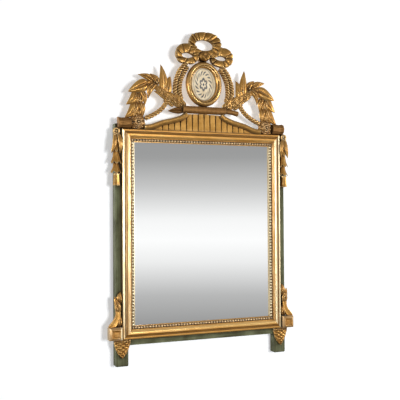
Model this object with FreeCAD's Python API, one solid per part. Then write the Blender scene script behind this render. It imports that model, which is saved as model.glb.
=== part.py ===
"""A carved giltwood wall mirror with a painted carcass, a beaded moulding and an openwork crest.

Millimetres. X runs to the viewer's right, Y runs back into the wall and Z runs up.
The origin lies on the wall, midway between the two keyhole plates that the mirror hangs by.
"""

import FreeCAD, Part
import math
import os

Vec = FreeCAD.Vector

# Driving sizes
SIGHT_WIDTH = 496.0  # glass that shows inside the gilt moulding
SIGHT_HEIGHT = 600.0
MOULDING_WIDTH = 42.0
STILE_WIDTH = 42.0
SIDE_REVEAL = 21.0  # painted wood that shows beside the moulding
TOP_REVEAL = 17.0
FOOT_REVEAL = 21.0
LEG_DROP = 68.0  # legs below the bottom rail
CARCASS_DEPTH = 30.0
PAD_THICK = 7.0  # felt pads that keep the back off the wall
CREST_RISE = 342.0  # from the moulding's top edge to the top of the bow
HANGER_DROP = 92.0  # keyhole plates below the moulding's top edge

# Common clearances
CUT_OVERRUN = 5.0
RUNNING_GAP = 0.3
EASY_FIT = 2.0
SAME_POINT = 1e-6

# Planes that everything is set from
BACK_Y = -PAD_THICK
FRONT_Y = BACK_Y - CARCASS_DEPTH
SIGHT_X = SIGHT_WIDTH / 2
SIGHT_Z = SIGHT_HEIGHT / 2
GILT_X = SIGHT_X + MOULDING_WIDTH
GILT_Z = SIGHT_Z + MOULDING_WIDTH
CENTRE_Z = HANGER_DROP - GILT_Z
CARCASS_X = GILT_X + SIDE_REVEAL
INNER_X = CARCASS_X - STILE_WIDTH
HANGER_SPACING = 2 * CARCASS_X - STILE_WIDTH
CARCASS_TOP = CENTRE_Z + GILT_Z + TOP_REVEAL
RAIL_FOOT = CENTRE_Z - GILT_Z - FOOT_REVEAL
FOOT_Z = RAIL_FOOT - LEG_DROP
CREST_FOOT = CENTRE_Z + GILT_Z
TOP_INNER_Z = CARCASS_TOP - STILE_WIDTH
FOOT_INNER_Z = RAIL_FOOT + STILE_WIDTH

saved = {}


# Helpers
def box(x, y, z):
    """A block between two values on each axis, given in any order."""
    lows = [min(pair) for pair in (x, y, z)]
    sizes = [max(pair) - min(pair) for pair in (x, y, z)]
    return Part.makeBox(*sizes, Vec(*lows))


def prism(outline, front, back):
    """An outline of (x, z) points carried from one Y to another."""
    points = [Vec(x, front, z) for x, z in outline]
    face = Part.Face(Part.makePolygon(points + points[:1]))
    return face.extrude(Vec(0, back - front, 0))


def flat_faces(corners):
    """One flat face through the corners, or two triangles where four don't lie in a plane."""
    points = [p for k, p in enumerate(corners) if not p.isEqual(corners[k - 1], SAME_POINT)]
    if len(points) < 3:
        return []
    if len(points) == 4:
        lift = (points[1] - points[0]).cross(points[2] - points[0]).dot(points[3] - points[0])
        if abs(lift) > SAME_POINT:
            return flat_faces(points[:3]) + flat_faces(points[2:] + points[:1])
    return [Part.Face(Part.makePolygon(points + points[:1]))]


def faceted(rings, looped=False):
    """A carved solid with flat cuts through rings of points, where a ring may shrink to a point."""
    pairs = list(zip(rings, rings[1:]))
    if looped:
        pairs.append((rings[-1], rings[0]))
    faces = []
    for near, far in pairs:
        for k in range(len(near)):
            faces += flat_faces([near[k - 1], near[k], far[k], far[k - 1]])
    if not looped:
        faces += flat_faces(rings[0]) + flat_faces(rings[-1])
    shell = Part.makeShell(faces)
    solid = Part.makeSolid(shell)
    if solid.Volume < 0:
        shell.reverse()
        solid = Part.makeSolid(shell)
    return solid.removeSplitter()


def polygon_ring(centre, half_x, half_z, sides):
    """Points of an upright polygon that faces the viewer, round or oval."""
    x, y, z = centre
    turns = [2 * math.pi * (k + 0.5) / sides for k in range(sides)]
    return [Vec(x + half_x * math.cos(a), y, z + half_z * math.sin(a)) for a in turns]


def domed(centre, half_x, half_z, levels, sides):
    """A faceted boss that rises along Y through (y, share of its half sizes)."""
    x, z = centre
    return faceted([polygon_ring((x, y, z), half_x * share, half_z * share, sides) for y, share in levels])


def fused(shapes):
    """One solid from several that touch or run into each other."""
    joined = shapes[0].multiFuse(shapes[1:]) if len(shapes) > 1 else shapes[0]
    return joined.removeSplitter()


def mirrored(shape):
    """The same piece on the other side of the mirror's middle."""
    return shape.mirror(Vec(0, 0, 0), Vec(1, 0, 0))


def seated(shape, carriers):
    """A carved piece cut to the pieces that it seats on, without any loose crumb."""
    rest = shape.cut(Part.makeCompound(carriers))
    solids = sorted(rest.Solids, key=lambda solid: solid.Volume, reverse=True)
    return solids[0]


def save(name, shape):
    """Keeps a node and writes its file."""
    saved[name] = shape
    shape.exportStep("parts/" + name + ".step")
    return shape


def save_pair(name, left):
    """A left piece and its mirror image on the right."""
    return save(name + "_left", left), save(name + "_right", mirrored(left))


# Painted carcass: two stiles with legs, two rails, tenons and pegs
TENON_THICK = CARCASS_DEPTH / 3
TENON_SHOULDER = 6.0
TENON_LENGTH = 28.0
MORTISE_SPARE = 1.0
PEG_RADIUS = 4.0
PEG_SIDES = 8
PEG_INSET = 14.0  # from the shoulder to the peg's centre
FOOT_CHAMFER = 3.0
REBATE_WIDTH = 10.0  # for the back board
BOARD_THICK = 5.0
HOOK_POCKET_DEPTH = 12.0
HOOK_POCKET_HALF = 7.0
KEYHOLE_RISE = 13.0  # from the entry hole to the end of the slot


def tenon(side, z_low, z_high, spare):
    """The tongue on a rail's end, or with spare its mortise."""
    middle = (FRONT_Y + BACK_Y) / 2
    ends = (side * INNER_X, side * (INNER_X + TENON_LENGTH + spare))
    thick = (middle - TENON_THICK / 2, middle + TENON_THICK / 2)
    return box(ends, thick, (z_low + TENON_SHOULDER, z_high - TENON_SHOULDER))


RAIL_SPANS = {"top_rail": (TOP_INNER_Z, CARCASS_TOP), "bottom_rail": (RAIL_FOOT, FOOT_INNER_Z)}


def board_space(clearance):
    """The rebate that takes the back board, or with a clearance the board itself."""
    half_x = INNER_X + REBATE_WIDTH - clearance
    low = FOOT_INNER_Z - REBATE_WIDTH + clearance
    high = TOP_INNER_Z + REBATE_WIDTH - clearance
    return box((-half_x, half_x), (BACK_Y - BOARD_THICK, BACK_Y), (low, high))


def peg(side, span):
    """An eight-sided peg through a mortise and tenon, driven from the back."""
    x = side * (INNER_X + PEG_INSET)
    length = (CARCASS_DEPTH + TENON_THICK) / 2 + TENON_SHOULDER
    return domed((x, sum(span) / 2), PEG_RADIUS, PEG_RADIUS, ((BACK_Y, 1), (BACK_Y - length, 1)), PEG_SIDES)


def hook_pocket():
    """The chiselled pocket behind a keyhole plate that leaves room for the head of the wall screw."""
    x = -HANGER_SPACING / 2
    return box(
        (x - HOOK_POCKET_HALF, x + HOOK_POCKET_HALF),
        (BACK_Y - HOOK_POCKET_DEPTH, BACK_Y),
        (-HOOK_POCKET_HALF, KEYHOLE_RISE + HOOK_POCKET_HALF),
    )


def make_carcass():
    """Stiles with their mortises, rails with their tenons, and the pegs."""
    stile = box((-CARCASS_X, -INNER_X), (FRONT_Y, BACK_Y), (FOOT_Z, CARCASS_TOP))
    feet = [edge for edge in stile.Edges if abs(edge.BoundBox.ZMax - FOOT_Z) < MORTISE_SPARE]
    stile = stile.makeChamfer(FOOT_CHAMFER, feet)
    cuts = [tenon(-1, low, high, MORTISE_SPARE) for low, high in RAIL_SPANS.values()]
    cuts += [peg(-1, span) for span in RAIL_SPANS.values()]
    cuts += [board_space(0), hook_pocket()]
    stile = stile.cut(Part.makeCompound(cuts))
    save_pair("stile", stile)
    pegs = []
    for name, (low, high) in RAIL_SPANS.items():
        rail = box((-INNER_X, INNER_X), (FRONT_Y, BACK_Y), (low, high))
        rail = fused([rail, tenon(-1, low, high, 0), tenon(1, low, high, 0)])
        rail = rail.cut(board_space(0))
        for side in (-1, 1):
            rail = rail.cut(peg(side, (low, high)))
            pegs.append(peg(side, (low, high)))
        save(name, rail)
    save("tenon_pegs", Part.makeCompound(pegs))


# Gilt moulding, its section read from the sight edge outwards
MOULDING_THICK = 17.0
SIGHT_LIP = 1.5
SIGHT_LIP_HEIGHT = 5.0
BEAD_CHANNEL = 10.0
CHANNEL_FLOOR = 3.5
QUIRK_HEIGHT = 8.5
QUIRK_WIDTH = 1.5
OVOLO_WIDTH = 11.0
CROWN_WIDTH = 2.5
COVE_WIDTH = 9.0
COVE_FLOOR = 9.0
FILLET_HEIGHT = 12.5
FILLET_ROUND = 2.5


def arc(start, through, end):
    """An arc edge through three points."""
    return Part.Arc(Vec(*start), Vec(*through), Vec(*end)).toShape()


def moulding_section(place):
    """The moulding's face, where place turns a width and a height into a point."""
    channel_end = SIGHT_LIP + BEAD_CHANNEL
    ovolo_start = channel_end + QUIRK_WIDTH
    crown_start = ovolo_start + OVOLO_WIDTH
    crown_end = crown_start + CROWN_WIDTH
    cove_end = crown_end + COVE_WIDTH
    ovolo_rise = MOULDING_THICK - QUIRK_HEIGHT
    cove_drop = MOULDING_THICK - COVE_FLOOR
    slant = math.sqrt(0.5)
    corners = [
        (0, 0),
        (0, SIGHT_LIP_HEIGHT),
        (SIGHT_LIP, SIGHT_LIP_HEIGHT),
        (SIGHT_LIP, CHANNEL_FLOOR),
        (channel_end, CHANNEL_FLOOR),
        (channel_end, QUIRK_HEIGHT),
        (ovolo_start, QUIRK_HEIGHT),
    ]
    edges = [Part.makeLine(place(*a), place(*b)) for a, b in zip(corners, corners[1:])]
    ovolo_mid = (crown_start - OVOLO_WIDTH * slant, QUIRK_HEIGHT + ovolo_rise * slant)
    edges.append(arc(place(*corners[-1]), place(*ovolo_mid), place(crown_start, MOULDING_THICK)))
    edges.append(Part.makeLine(place(crown_start, MOULDING_THICK), place(crown_end, MOULDING_THICK)))
    cove_mid = (cove_end - COVE_WIDTH * slant, COVE_FLOOR + cove_drop * (1 - slant))
    edges.append(arc(place(crown_end, MOULDING_THICK), place(*cove_mid), place(cove_end, COVE_FLOOR)))
    round_start = MOULDING_WIDTH - FILLET_ROUND
    edges.append(Part.makeLine(place(cove_end, COVE_FLOOR), place(cove_end, FILLET_HEIGHT)))
    edges.append(Part.makeLine(place(cove_end, FILLET_HEIGHT), place(round_start, FILLET_HEIGHT)))
    round_mid = (round_start + FILLET_ROUND * slant, FILLET_HEIGHT - FILLET_ROUND * (1 - slant))
    round_end = (MOULDING_WIDTH, FILLET_HEIGHT - FILLET_ROUND)
    edges.append(arc(place(round_start, FILLET_HEIGHT), place(*round_mid), place(*round_end)))
    edges.append(Part.makeLine(place(*round_end), place(MOULDING_WIDTH, 0)))
    edges.append(Part.makeLine(place(MOULDING_WIDTH, 0), place(0, 0)))
    return Part.Face(Part.Wire(edges))


def mitred(shape, reach_x, reach_z):
    """Keeps the quarter of a frame between its two mitres, where one reach is the member's own side."""
    outline = [
        (reach_x[0] * SIGHT_X, reach_z[0] * SIGHT_Z),
        (reach_x[1] * SIGHT_X, reach_z[1] * SIGHT_Z),
        (reach_x[1] * GILT_X, reach_z[1] * GILT_Z),
        (reach_x[0] * GILT_X, reach_z[0] * GILT_Z),
    ]
    wedge = prism([(x, z + CENTRE_Z) for x, z in outline], FRONT_Y - MOULDING_THICK, FRONT_Y)
    return shape.common(wedge)


def make_moulding():
    """The four mitred lengths of gilt moulding."""

    def upright(width, height):
        return (-SIGHT_X - width, FRONT_Y - height, CENTRE_Z - GILT_Z)

    def level(sign):
        return lambda width, height: (-GILT_X, FRONT_Y - height, CENTRE_Z + sign * (SIGHT_Z + width))

    side = moulding_section(upright).extrude(Vec(0, 0, 2 * GILT_Z))
    save_pair("moulding", mitred(side, (-1, -1), (-1, 1)))
    for name, sign in (("moulding_top", 1), ("moulding_bottom", -1)):
        member = moulding_section(level(sign)).extrude(Vec(2 * GILT_X, 0, 0))
        save(name, mitred(member, (-1, 1), (sign, sign)))


# Rows of pearls in the channel round the glass
PEARL_PITCH = 10.0
PEARL_RADIUS = 4.9
# place along a pearl's pitch and width there
PEARL_RING_SHARES = ((0.0, 0.36), (0.5, 1.0))
PEARL_SECTION_SHARES = ((-1.0, 0.0), (-0.5, 0.87), (0.5, 0.87), (1.0, 0.0))


def pearl_string(start, ahead, across, count, pitch):
    """A carved string of half pearls, flat at the back, from a point on."""
    rings = []
    places = [(k + run, share) for k in range(count) for run, share in PEARL_RING_SHARES]
    for run, share in places + [(count, PEARL_RING_SHARES[0][1])]:
        centre = start + ahead * (run * pitch)
        size = PEARL_RADIUS * share
        rings.append([centre + across * (size * s) + Vec(0, -size * h, 0) for s, h in PEARL_SECTION_SHARES])
    return faceted(rings)


def make_pearls():
    """Four strings: the upright ones run corner to corner and the level ones fit between them."""
    end_x = SIGHT_X + SIGHT_LIP + BEAD_CHANNEL
    end_z = SIGHT_Z + SIGHT_LIP + BEAD_CHANNEL
    floor_y = FRONT_Y - CHANNEL_FLOOR
    count_z = round(2 * end_z / PEARL_PITCH)
    low = Vec(BEAD_CHANNEL / 2 - end_x, floor_y, CENTRE_Z - end_z)
    side = pearl_string(low, Vec(0, 0, 1), Vec(1, 0, 0), count_z, 2 * end_z / count_z)
    strings = [side, mirrored(side)]
    span = 2 * (end_x - BEAD_CHANNEL)
    count_x = round(span / PEARL_PITCH)
    for sign in (-1, 1):
        start = Vec(-span / 2, floor_y, CENTRE_Z + sign * (end_z - BEAD_CHANNEL / 2))
        strings.append(pearl_string(start, Vec(1, 0, 0), Vec(0, 0, 1), count_x, span / count_x))
    save("pearl_beading", Part.makeCompound(strings))


# Glass, the blocks that hold it, and the back board
GLASS_THICK = 4.0
BLOCK_LENGTH = 50.0
BLOCK_SIDE = 12.0
BLOCK_SPREAD_SHARE = 0.55


def make_glass_and_back():
    """The silvered plate behind the moulding, eight rubbed blocks and the back board."""
    half_x = INNER_X - EASY_FIT
    low = FOOT_INNER_Z + EASY_FIT
    high = TOP_INNER_Z - EASY_FIT
    save("mirror_glass", box((-half_x, half_x), (FRONT_Y, FRONT_Y + GLASS_THICK), (low, high)))
    behind = (FRONT_Y + GLASS_THICK, FRONT_Y + GLASS_THICK + BLOCK_SIDE)
    blocks = []
    for side in (-1, 1):
        for end in (-1, 1):
            z = CENTRE_Z + end * BLOCK_SPREAD_SHARE * SIGHT_Z
            x = side * BLOCK_SPREAD_SHARE * SIGHT_X
            wall_z = FOOT_INNER_Z if end < 0 else TOP_INNER_Z
            upright = (z - BLOCK_LENGTH / 2, z + BLOCK_LENGTH / 2)
            blocks.append(box((side * INNER_X, side * (INNER_X - BLOCK_SIDE)), behind, upright))
            level = (x - BLOCK_LENGTH / 2, x + BLOCK_LENGTH / 2)
            blocks.append(box(level, behind, (wall_z, wall_z - end * BLOCK_SIDE)))
    save("glazing_blocks", Part.makeCompound(blocks))
    save("back_board", board_space(EASY_FIT / 2))


# Turn buttons on the back, the keyhole plates, their screws and the felt pads
BUTTON_THICK = 2.0
BUTTON_WIDTH = 12.0
BUTTON_REACH = 26.0  # from the screw to the long end
BUTTON_TAIL = 8.0
BUTTON_INSET = 16.0  # from the rebate's edge to the screw
BUTTON_HOLE_RADIUS = 2.4
BUTTON_END_SIDES = 4
SHANK_RADIUS = 2.0
HEAD_RADIUS = 4.2
HEAD_HEIGHT = 1.8
HEAD_TOP_SHARE = 0.7
SCREW_SIDES = 6
SCREW_LENGTH = 12.0
BATTEN_SCREW_LENGTH = 14.0
SIDE_BUTTON_SHARE = 0.45
PLATE_THICK = 1.6
PLATE_WIDTH = 19.0
PLATE_LENGTH = 54.0
KEYHOLE_RADIUS = 5.4
KEYHOLE_SIDES = 12
SLOT_RADIUS = 2.6
PLATE_SCREW_SPAN = 44.0
PLATE_RISE = 6.0  # plate's middle above the entry hole
PAD_RADIUS = 10.0
PAD_SIDES = 14
PAD_INSET = 16.0

back_screws = []


def screw(x, surface_y, z, length=SCREW_LENGTH):
    """A pan-head wood screw driven in from the back, kept with the others as one node."""
    neck_share = SHANK_RADIUS / HEAD_RADIUS
    levels = (
        (surface_y - length, neck_share),
        (surface_y, neck_share),
        (surface_y, 1),
        (surface_y + HEAD_HEIGHT, HEAD_TOP_SHARE),
    )
    back_screws.append(domed((x, z), HEAD_RADIUS, HEAD_RADIUS, levels, SCREW_SIDES))


def drilled(names, holes):
    """Cuts holes in pieces that are already saved, and writes them again."""
    for name in names:
        save(name, saved[name].cut(Part.makeCompound(holes)))


def turn_button(x, z, inward):
    """A flat turn button with filed round ends, whose long end points inward over the back board."""
    half = BUTTON_WIDTH / 2
    outline = []
    for end, reach in ((1, BUTTON_REACH), (-1, -BUTTON_TAIL)):
        for k in range(BUTTON_END_SIDES + 1):
            angle = math.pi * (k / BUTTON_END_SIDES - 1 / 2)
            ahead = reach - end * half + end * half * math.cos(angle)
            side = end * half * math.sin(angle)
            across = inward[0] * ahead - inward[1] * side
            upward = inward[1] * ahead + inward[0] * side
            outline.append((x + across, z + upward))
    front = BACK_Y + RUNNING_GAP
    levels = ((front - CUT_OVERRUN, 1), (front + BUTTON_THICK + CUT_OVERRUN, 1))
    hole = domed((x, z), BUTTON_HOLE_RADIUS, BUTTON_HOLE_RADIUS, levels, SCREW_SIDES)
    return prism(outline, front, front + BUTTON_THICK).cut(hole)


def button_places():
    """Name, place and inward direction of each turn button."""
    side_x = INNER_X + REBATE_WIDTH + BUTTON_INSET
    high_z = TOP_INNER_Z + REBATE_WIDTH + BUTTON_INSET
    low_z = FOOT_INNER_Z - REBATE_WIDTH - BUTTON_INSET
    rise = SIDE_BUTTON_SHARE * SIGHT_Z
    return {
        "turn_button_left_upper": (-side_x, CENTRE_Z + rise, (1, 0)),
        "turn_button_left_lower": (-side_x, CENTRE_Z - rise, (1, 0)),
        "turn_button_right_upper": (side_x, CENTRE_Z + rise, (-1, 0)),
        "turn_button_right_lower": (side_x, CENTRE_Z - rise, (-1, 0)),
        "turn_button_top": (0, high_z, (0, -1)),
        "turn_button_bottom": (0, low_z, (0, 1)),
    }


def keyhole_plate(x):
    """A steel plate with a round entry and a slot above it for the wall screw's neck."""
    across = (x - PLATE_WIDTH / 2, x + PLATE_WIDTH / 2)
    upright = (PLATE_RISE - PLATE_LENGTH / 2, PLATE_RISE + PLATE_LENGTH / 2)
    plate = box(across, (BACK_Y, BACK_Y + PLATE_THICK), upright)
    levels = ((BACK_Y - CUT_OVERRUN, 1), (BACK_Y + PLATE_THICK + CUT_OVERRUN, 1))
    entry = domed((x, 0), KEYHOLE_RADIUS, KEYHOLE_RADIUS, levels, KEYHOLE_SIDES)
    slot_end = domed((x, KEYHOLE_RISE), SLOT_RADIUS, SLOT_RADIUS, levels, SCREW_SIDES)
    slot = box((x - SLOT_RADIUS, x + SLOT_RADIUS), (BACK_Y, BACK_Y + PLATE_THICK), (0, KEYHOLE_RISE))
    return plate.cut(Part.makeCompound([entry, slot, slot_end]))


def make_back_fittings():
    """Everything that is screwed or stuck to the back of the carcass."""
    for name, (x, z, inward) in button_places().items():
        save(name, turn_button(x, z, inward))
        screw(x, BACK_Y + BUTTON_THICK + 2 * RUNNING_GAP, z)
    for side, name in ((-1, "keyhole_plate_left"), (1, "keyhole_plate_right")):
        x = side * HANGER_SPACING / 2
        save(name, keyhole_plate(x))
        for end in (-1, 1):
            screw(x, BACK_Y + PLATE_THICK, PLATE_RISE + end * PLATE_SCREW_SPAN / 2)
    pads = []
    for side in (-1, 1):
        for z in (FOOT_Z + PAD_INSET, CARCASS_TOP - PAD_INSET):
            place = (side * (CARCASS_X - PAD_INSET), z)
            pads.append(domed(place, PAD_RADIUS, PAD_RADIUS, ((BACK_Y, 1), (0, 1)), PAD_SIDES))
    save("wall_pads", Part.makeCompound(pads))


# Carved leaf: a flat back, keen edges and a ridge along its midrib
LEAF_RIDGE = 9.5
LEAF_TIP = 3.0  # thickness left at the tip
LEAF_STATION_SHARES = ((0.0, 0.5), (0.42, 1.0), (1.0, 0.0))
LEAF_ARCH_SHARE = 0.1  # how far the middle of a leaf bows forward, as a share of its length


def leaf(base, tip, width, back_y, stations=LEAF_STATION_SHARES):
    """A leaf from base to tip, two (x, z) points, that stands before back_y."""
    along = Vec(tip[0] - base[0], 0, tip[1] - base[1])
    length = along.Length
    across = Vec(-along.z, 0, along.x) / length
    rings = []
    for run, share in stations:
        rise = back_y - length * LEAF_ARCH_SHARE * math.sin(math.pi * run)
        middle = Vec(base[0], rise, base[1]) + along * run
        half = width * share / 2
        ridge = LEAF_RIDGE * max(share, 0.5)
        section = [(-half, 0), (half, 0), (0, ridge)] if share else [(0, LEAF_TIP)] * 3
        rings.append([middle + across * s + Vec(0, -h, 0) for s, h in section])
    return faceted(rings)


def bar(path, radius, back_y, sides, twist=0.0, depth=1.0):
    """A carved bar through (x, z) points, turned a little at each one when it is a rope."""
    points = [Vec(x, back_y - radius * depth, z) for x, z in path]
    rings = []
    for k, point in enumerate(points):
        ahead = points[min(k + 1, len(points) - 1)] - points[max(k - 1, 0)]
        ahead.normalize()
        across = Vec(-ahead.z, 0, ahead.x) * radius
        turns = [2 * math.pi * (n + 0.5) / sides + twist * k for n in range(sides)]
        rings.append([point + across * math.cos(a) - Vec(0, radius * depth * math.sin(a), 0) for a in turns])
    return faceted(rings)


def curve_points(path, count):
    """Even points along a smooth curve through the given (x, z) points."""
    spline = Part.BSplineCurve()
    spline.interpolate([Vec(x, 0, z) for x, z in path])
    return [(p.x, p.z) for p in spline.toShape().discretize(Number=count)]


# What the crest's pieces take their places from
MEDALLION_HALF_WIDTH = 66.5
LOG_INSET = 5.5  # cut end of the log in from the stile's outer face
LOG_LENGTH = 42.5
FLOWER_HALF_WIDTH = 25.5
FLOWER_HALF_HEIGHT = 24.0
FLOWER_LAP = 0.5  # into the log
LOG_END_X = CARCASS_X - LOG_INSET
FLOWER_X = LOG_END_X - LOG_LENGTH - FLOWER_HALF_WIDTH + FLOWER_LAP
KNOT_HALF_WIDTH = 22.0
KNOT_HALF_HEIGHT = 18.0
KNOT_DROP = 85.0  # knot's centre below the top of the bow
KNOT_LAP = 17.0  # from the medallion's top to the knot's centre
KNOT_Z = CREST_FOOT + CREST_RISE - KNOT_DROP

# Crest board: fluted pediment, swept mouldings and ledge
CREST_BACK_Y = FRONT_Y  # the crest is planted on the face of the top rail
PANEL_PROUD = 9.0
FLUTE_PITCH = 21.5
FLUTE_DEPTH = 3.0
FLUTE_WIDTH = 4.0
FLUTED_SHARE = 0.75  # of the sweep's reach, where the panel is tall enough for grooves
SWEPT_THICK = 14.5
SWEPT_PROUD = 16.0
SWEPT_LAP = 1.5  # how far the sweep runs under the flower head
SWEPT_REACH = FLOWER_X - FLOWER_HALF_WIDTH + SWEPT_LAP
SWEPT_RISE = 68.0
SWEPT_STEPS = 13
# distance from the middle and height of the sweep's top edge
SWEPT_SHARES = (
    (1.0, 0.235),
    (0.888, 0.285),
    (0.771, 0.42),
    (0.692, 0.51),
    (0.542, 0.62),
    (0.42, 0.745),
    (0.346, 0.86),
    (0.3, 0.985),
)
LEDGE_OVERHANG = 11.5
LEDGE_HALF = MEDALLION_HALF_WIDTH + LEDGE_OVERHANG
LEDGE_HEIGHT = 24.0
LEDGE_PROUD = 21.0
LEDGE_FILLET = 6.0
LEDGE_COVE = 4.0
LEDGE_FOOT = CREST_FOOT + SWEPT_RISE - LEDGE_FILLET
LEDGE_TOP = LEDGE_FOOT + LEDGE_HEIGHT


def swept_line(drop):
    """The sweep's left line in (x, z) points, drop below its top edge."""
    return [(-x * SWEPT_REACH, CREST_FOOT + z * SWEPT_RISE - drop) for x, z in SWEPT_SHARES]


def swept_moulding():
    """The curved moulding that climbs from the left flower to the ledge."""
    chamfer = SWEPT_THICK / 4
    half = SWEPT_THICK / 2
    front = FRONT_Y - SWEPT_PROUD
    section = [
        (-half, CREST_BACK_Y),
        (half, CREST_BACK_Y),
        (half, front + chamfer),
        (half - chamfer, front),
        (chamfer - half, front + chamfer / 2),
        (-half, front + 2 * chamfer),
    ]
    rings = []
    line = curve_points(swept_line(half), SWEPT_STEPS)
    for k, (x, z) in enumerate(line):
        near, far = line[max(k - 1, 0)], line[min(k + 1, len(line) - 1)]
        ahead = Vec(far[0] - near[0], 0, far[1] - near[1])
        ahead.normalize()
        up = Vec(-ahead.z, 0, ahead.x)
        rings.append([Vec(x, y, z) + up * s for s, y in section])
    return faceted(rings)


def flute(x):
    """A V-shaped groove up the pediment's face."""
    face_y = FRONT_Y - PANEL_PROUD
    half = FLUTE_WIDTH / 2
    corners = [(-half, -FLUTE_DEPTH / 2), (0, FLUTE_DEPTH), (half, -FLUTE_DEPTH / 2)]
    points = [Vec(x + across, face_y + deep, CREST_FOOT) for across, deep in corners]
    return Part.Face(Part.makePolygon(points + points[:1])).extrude(Vec(0, 0, SWEPT_RISE))


def make_pediment(carcass):
    """The ledge, the two swept mouldings and the fluted panel between them."""
    front = FRONT_Y - LEDGE_PROUD
    profile = [
        (CREST_BACK_Y, LEDGE_FOOT),
        (front + 2 * LEDGE_COVE, LEDGE_FOOT),
        (front + LEDGE_COVE, LEDGE_FOOT + LEDGE_FILLET),
        (front + LEDGE_COVE, LEDGE_TOP - LEDGE_FILLET - LEDGE_COVE),
        (front, LEDGE_TOP - LEDGE_FILLET),
        (front, LEDGE_TOP),
        (CREST_BACK_Y, LEDGE_TOP),
    ]
    wire = Part.makePolygon([Vec(-LEDGE_HALF, y, z) for y, z in profile + profile[:1]])
    ledge = save("ledge", Part.Face(wire).extrude(Vec(2 * LEDGE_HALF, 0, 0)))
    sweep = seated(swept_moulding(), [ledge] + carcass)
    save_pair("swept_moulding", sweep)
    roof = swept_line(SWEPT_THICK / 2)
    left = [(-SWEPT_REACH, CREST_FOOT)] + roof + [(0, roof[-1][1])]
    outline = left + [(-x, z) for x, z in reversed(left[:-1])]
    panel = prism(outline, FRONT_Y - PANEL_PROUD, CREST_BACK_Y)
    side_flutes = math.floor(FLUTED_SHARE * SWEPT_REACH / FLUTE_PITCH)
    flutes = [flute(FLUTE_PITCH * k) for k in range(-side_flutes, side_flutes + 1)]
    panel = panel.cut(Part.makeCompound(flutes))
    save("pediment_panel", seated(panel, [ledge, sweep, mirrored(sweep)] + carcass))


# Medallion: an oval frame with its glass, print and wooden core
MEDALLION_SINK = 4.0  # how far the oval stands down behind the ledge's top
MEDALLION_HALF_HEIGHT = (KNOT_Z - KNOT_LAP - LEDGE_TOP + MEDALLION_SINK) / 2
MEDALLION_RING = 21.0
MEDALLION_PROUD = 20.0
MEDALLION_SIDES = 24
RING_ROUND = 8.0
SIGHT_BEVEL = 9.0
PICTURE_REBATE = 3.5
PICTURE_GLASS = 2.0
PRINT_THICK = 0.8
MEDALLION_Z = LEDGE_TOP + MEDALLION_HALF_HEIGHT - MEDALLION_SINK


def oval_ring(inset, y):
    """The medallion's oval, taken in by inset, at a depth."""
    half_x = MEDALLION_HALF_WIDTH - inset
    return polygon_ring((0, y, MEDALLION_Z), half_x, MEDALLION_HALF_HEIGHT - inset, MEDALLION_SIDES)


def make_medallion(carriers):
    """The frame with a rounded back and a bevelled sight, then what it holds."""
    front = FRONT_Y - MEDALLION_PROUD
    glass_front = front + SIGHT_BEVEL + PICTURE_REBATE
    rebate_inset = MEDALLION_RING - PICTURE_REBATE
    slant = 1 - math.sqrt(0.5)
    section = [
        (0, CREST_BACK_Y),
        (0, front + RING_ROUND),
        (RING_ROUND * slant, front + RING_ROUND * slant),
        (RING_ROUND, front),
        (MEDALLION_RING, front + SIGHT_BEVEL),
        (MEDALLION_RING, glass_front),
        (rebate_inset, glass_front),
        (rebate_inset, CREST_BACK_Y),
    ]
    lines = [oval_ring(inset, y) for inset, y in section]
    frame = faceted([list(ring) for ring in zip(*lines)], looped=True)
    frame = save("medallion_frame", seated(frame, carriers))
    print_front = glass_front + PICTURE_GLASS
    depths = [glass_front, print_front, print_front + PRINT_THICK, CREST_BACK_Y]
    for k, name in enumerate(("medallion_glass", "medallion_print", "medallion_core")):
        save(name, faceted([oval_ring(rebate_inset, y) for y in depths[k : k + 2]]))
    return frame


# Ribbon bow: pleated loops round their holes, and a knot
RIBBON_PROUD = 17.0
KNOT_PROUD = 26.0
KNOT_SIDES = 12
KNOT_LEVEL_SHARES = ((0.0, 1.0), (0.45, 0.94), (0.8, 0.68), (1.0, 0.3))
FOLD_WIDTH = 5.0
PLEAT_DEPTH = 4.5
PLEAT_SCALLOP = 2.2
# hole and edge: centre x and z from the knot, then half width and half height
TOP_LOOP = {"hole": (0.5, 38.0, 33.5, 18.0), "edge": (4.0, 43.0, 60.0, 42.0), "pleats": 16}
LEFT_LOOP = {"hole": (-60.0, -0.5, 21.0, 9.0), "edge": (-60.0, 6.0, 42.0, 35.0), "pleats": 12}
RIGHT_LOOP = {"hole": (61.5, -2.0, 21.0, 8.0), "edge": (65.0, 2.0, 43.5, 34.5), "pleats": 12}


def pleated_loop(loop):
    """A ribbon loop with pleats that fan out from its hole, flat at the back."""
    rings = []
    count = 2 * loop["pleats"]
    hole_x, hole_z, hole_half_x, hole_half_z = loop["hole"]
    edge_x, edge_z, edge_half_x, edge_half_z = loop["edge"]
    for k in range(count):
        angle = 2 * math.pi * k / count
        fold = 1 if k % 2 else -1
        cos, sin = math.cos(angle), math.sin(angle)
        scallop = PLEAT_SCALLOP * (fold - 1) / 2
        inner = (hole_x + hole_half_x * cos, KNOT_Z + hole_z + hole_half_z * sin)
        outer = (edge_x + (edge_half_x + scallop) * cos, KNOT_Z + edge_z + (edge_half_z + scallop) * sin)
        crown = FRONT_Y - RIBBON_PROUD - fold * PLEAT_DEPTH / 2
        rings.append(
            [
                Vec(inner[0], CREST_BACK_Y, inner[1]),
                Vec(outer[0], CREST_BACK_Y, outer[1]),
                Vec(outer[0], crown + PLEAT_DEPTH, outer[1]),
                Vec((inner[0] + outer[0]) / 2, crown, (inner[1] + outer[1]) / 2),
                Vec(inner[0], crown + PLEAT_DEPTH, inner[1]),
            ]
        )
    return faceted(rings, looped=True)


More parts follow.
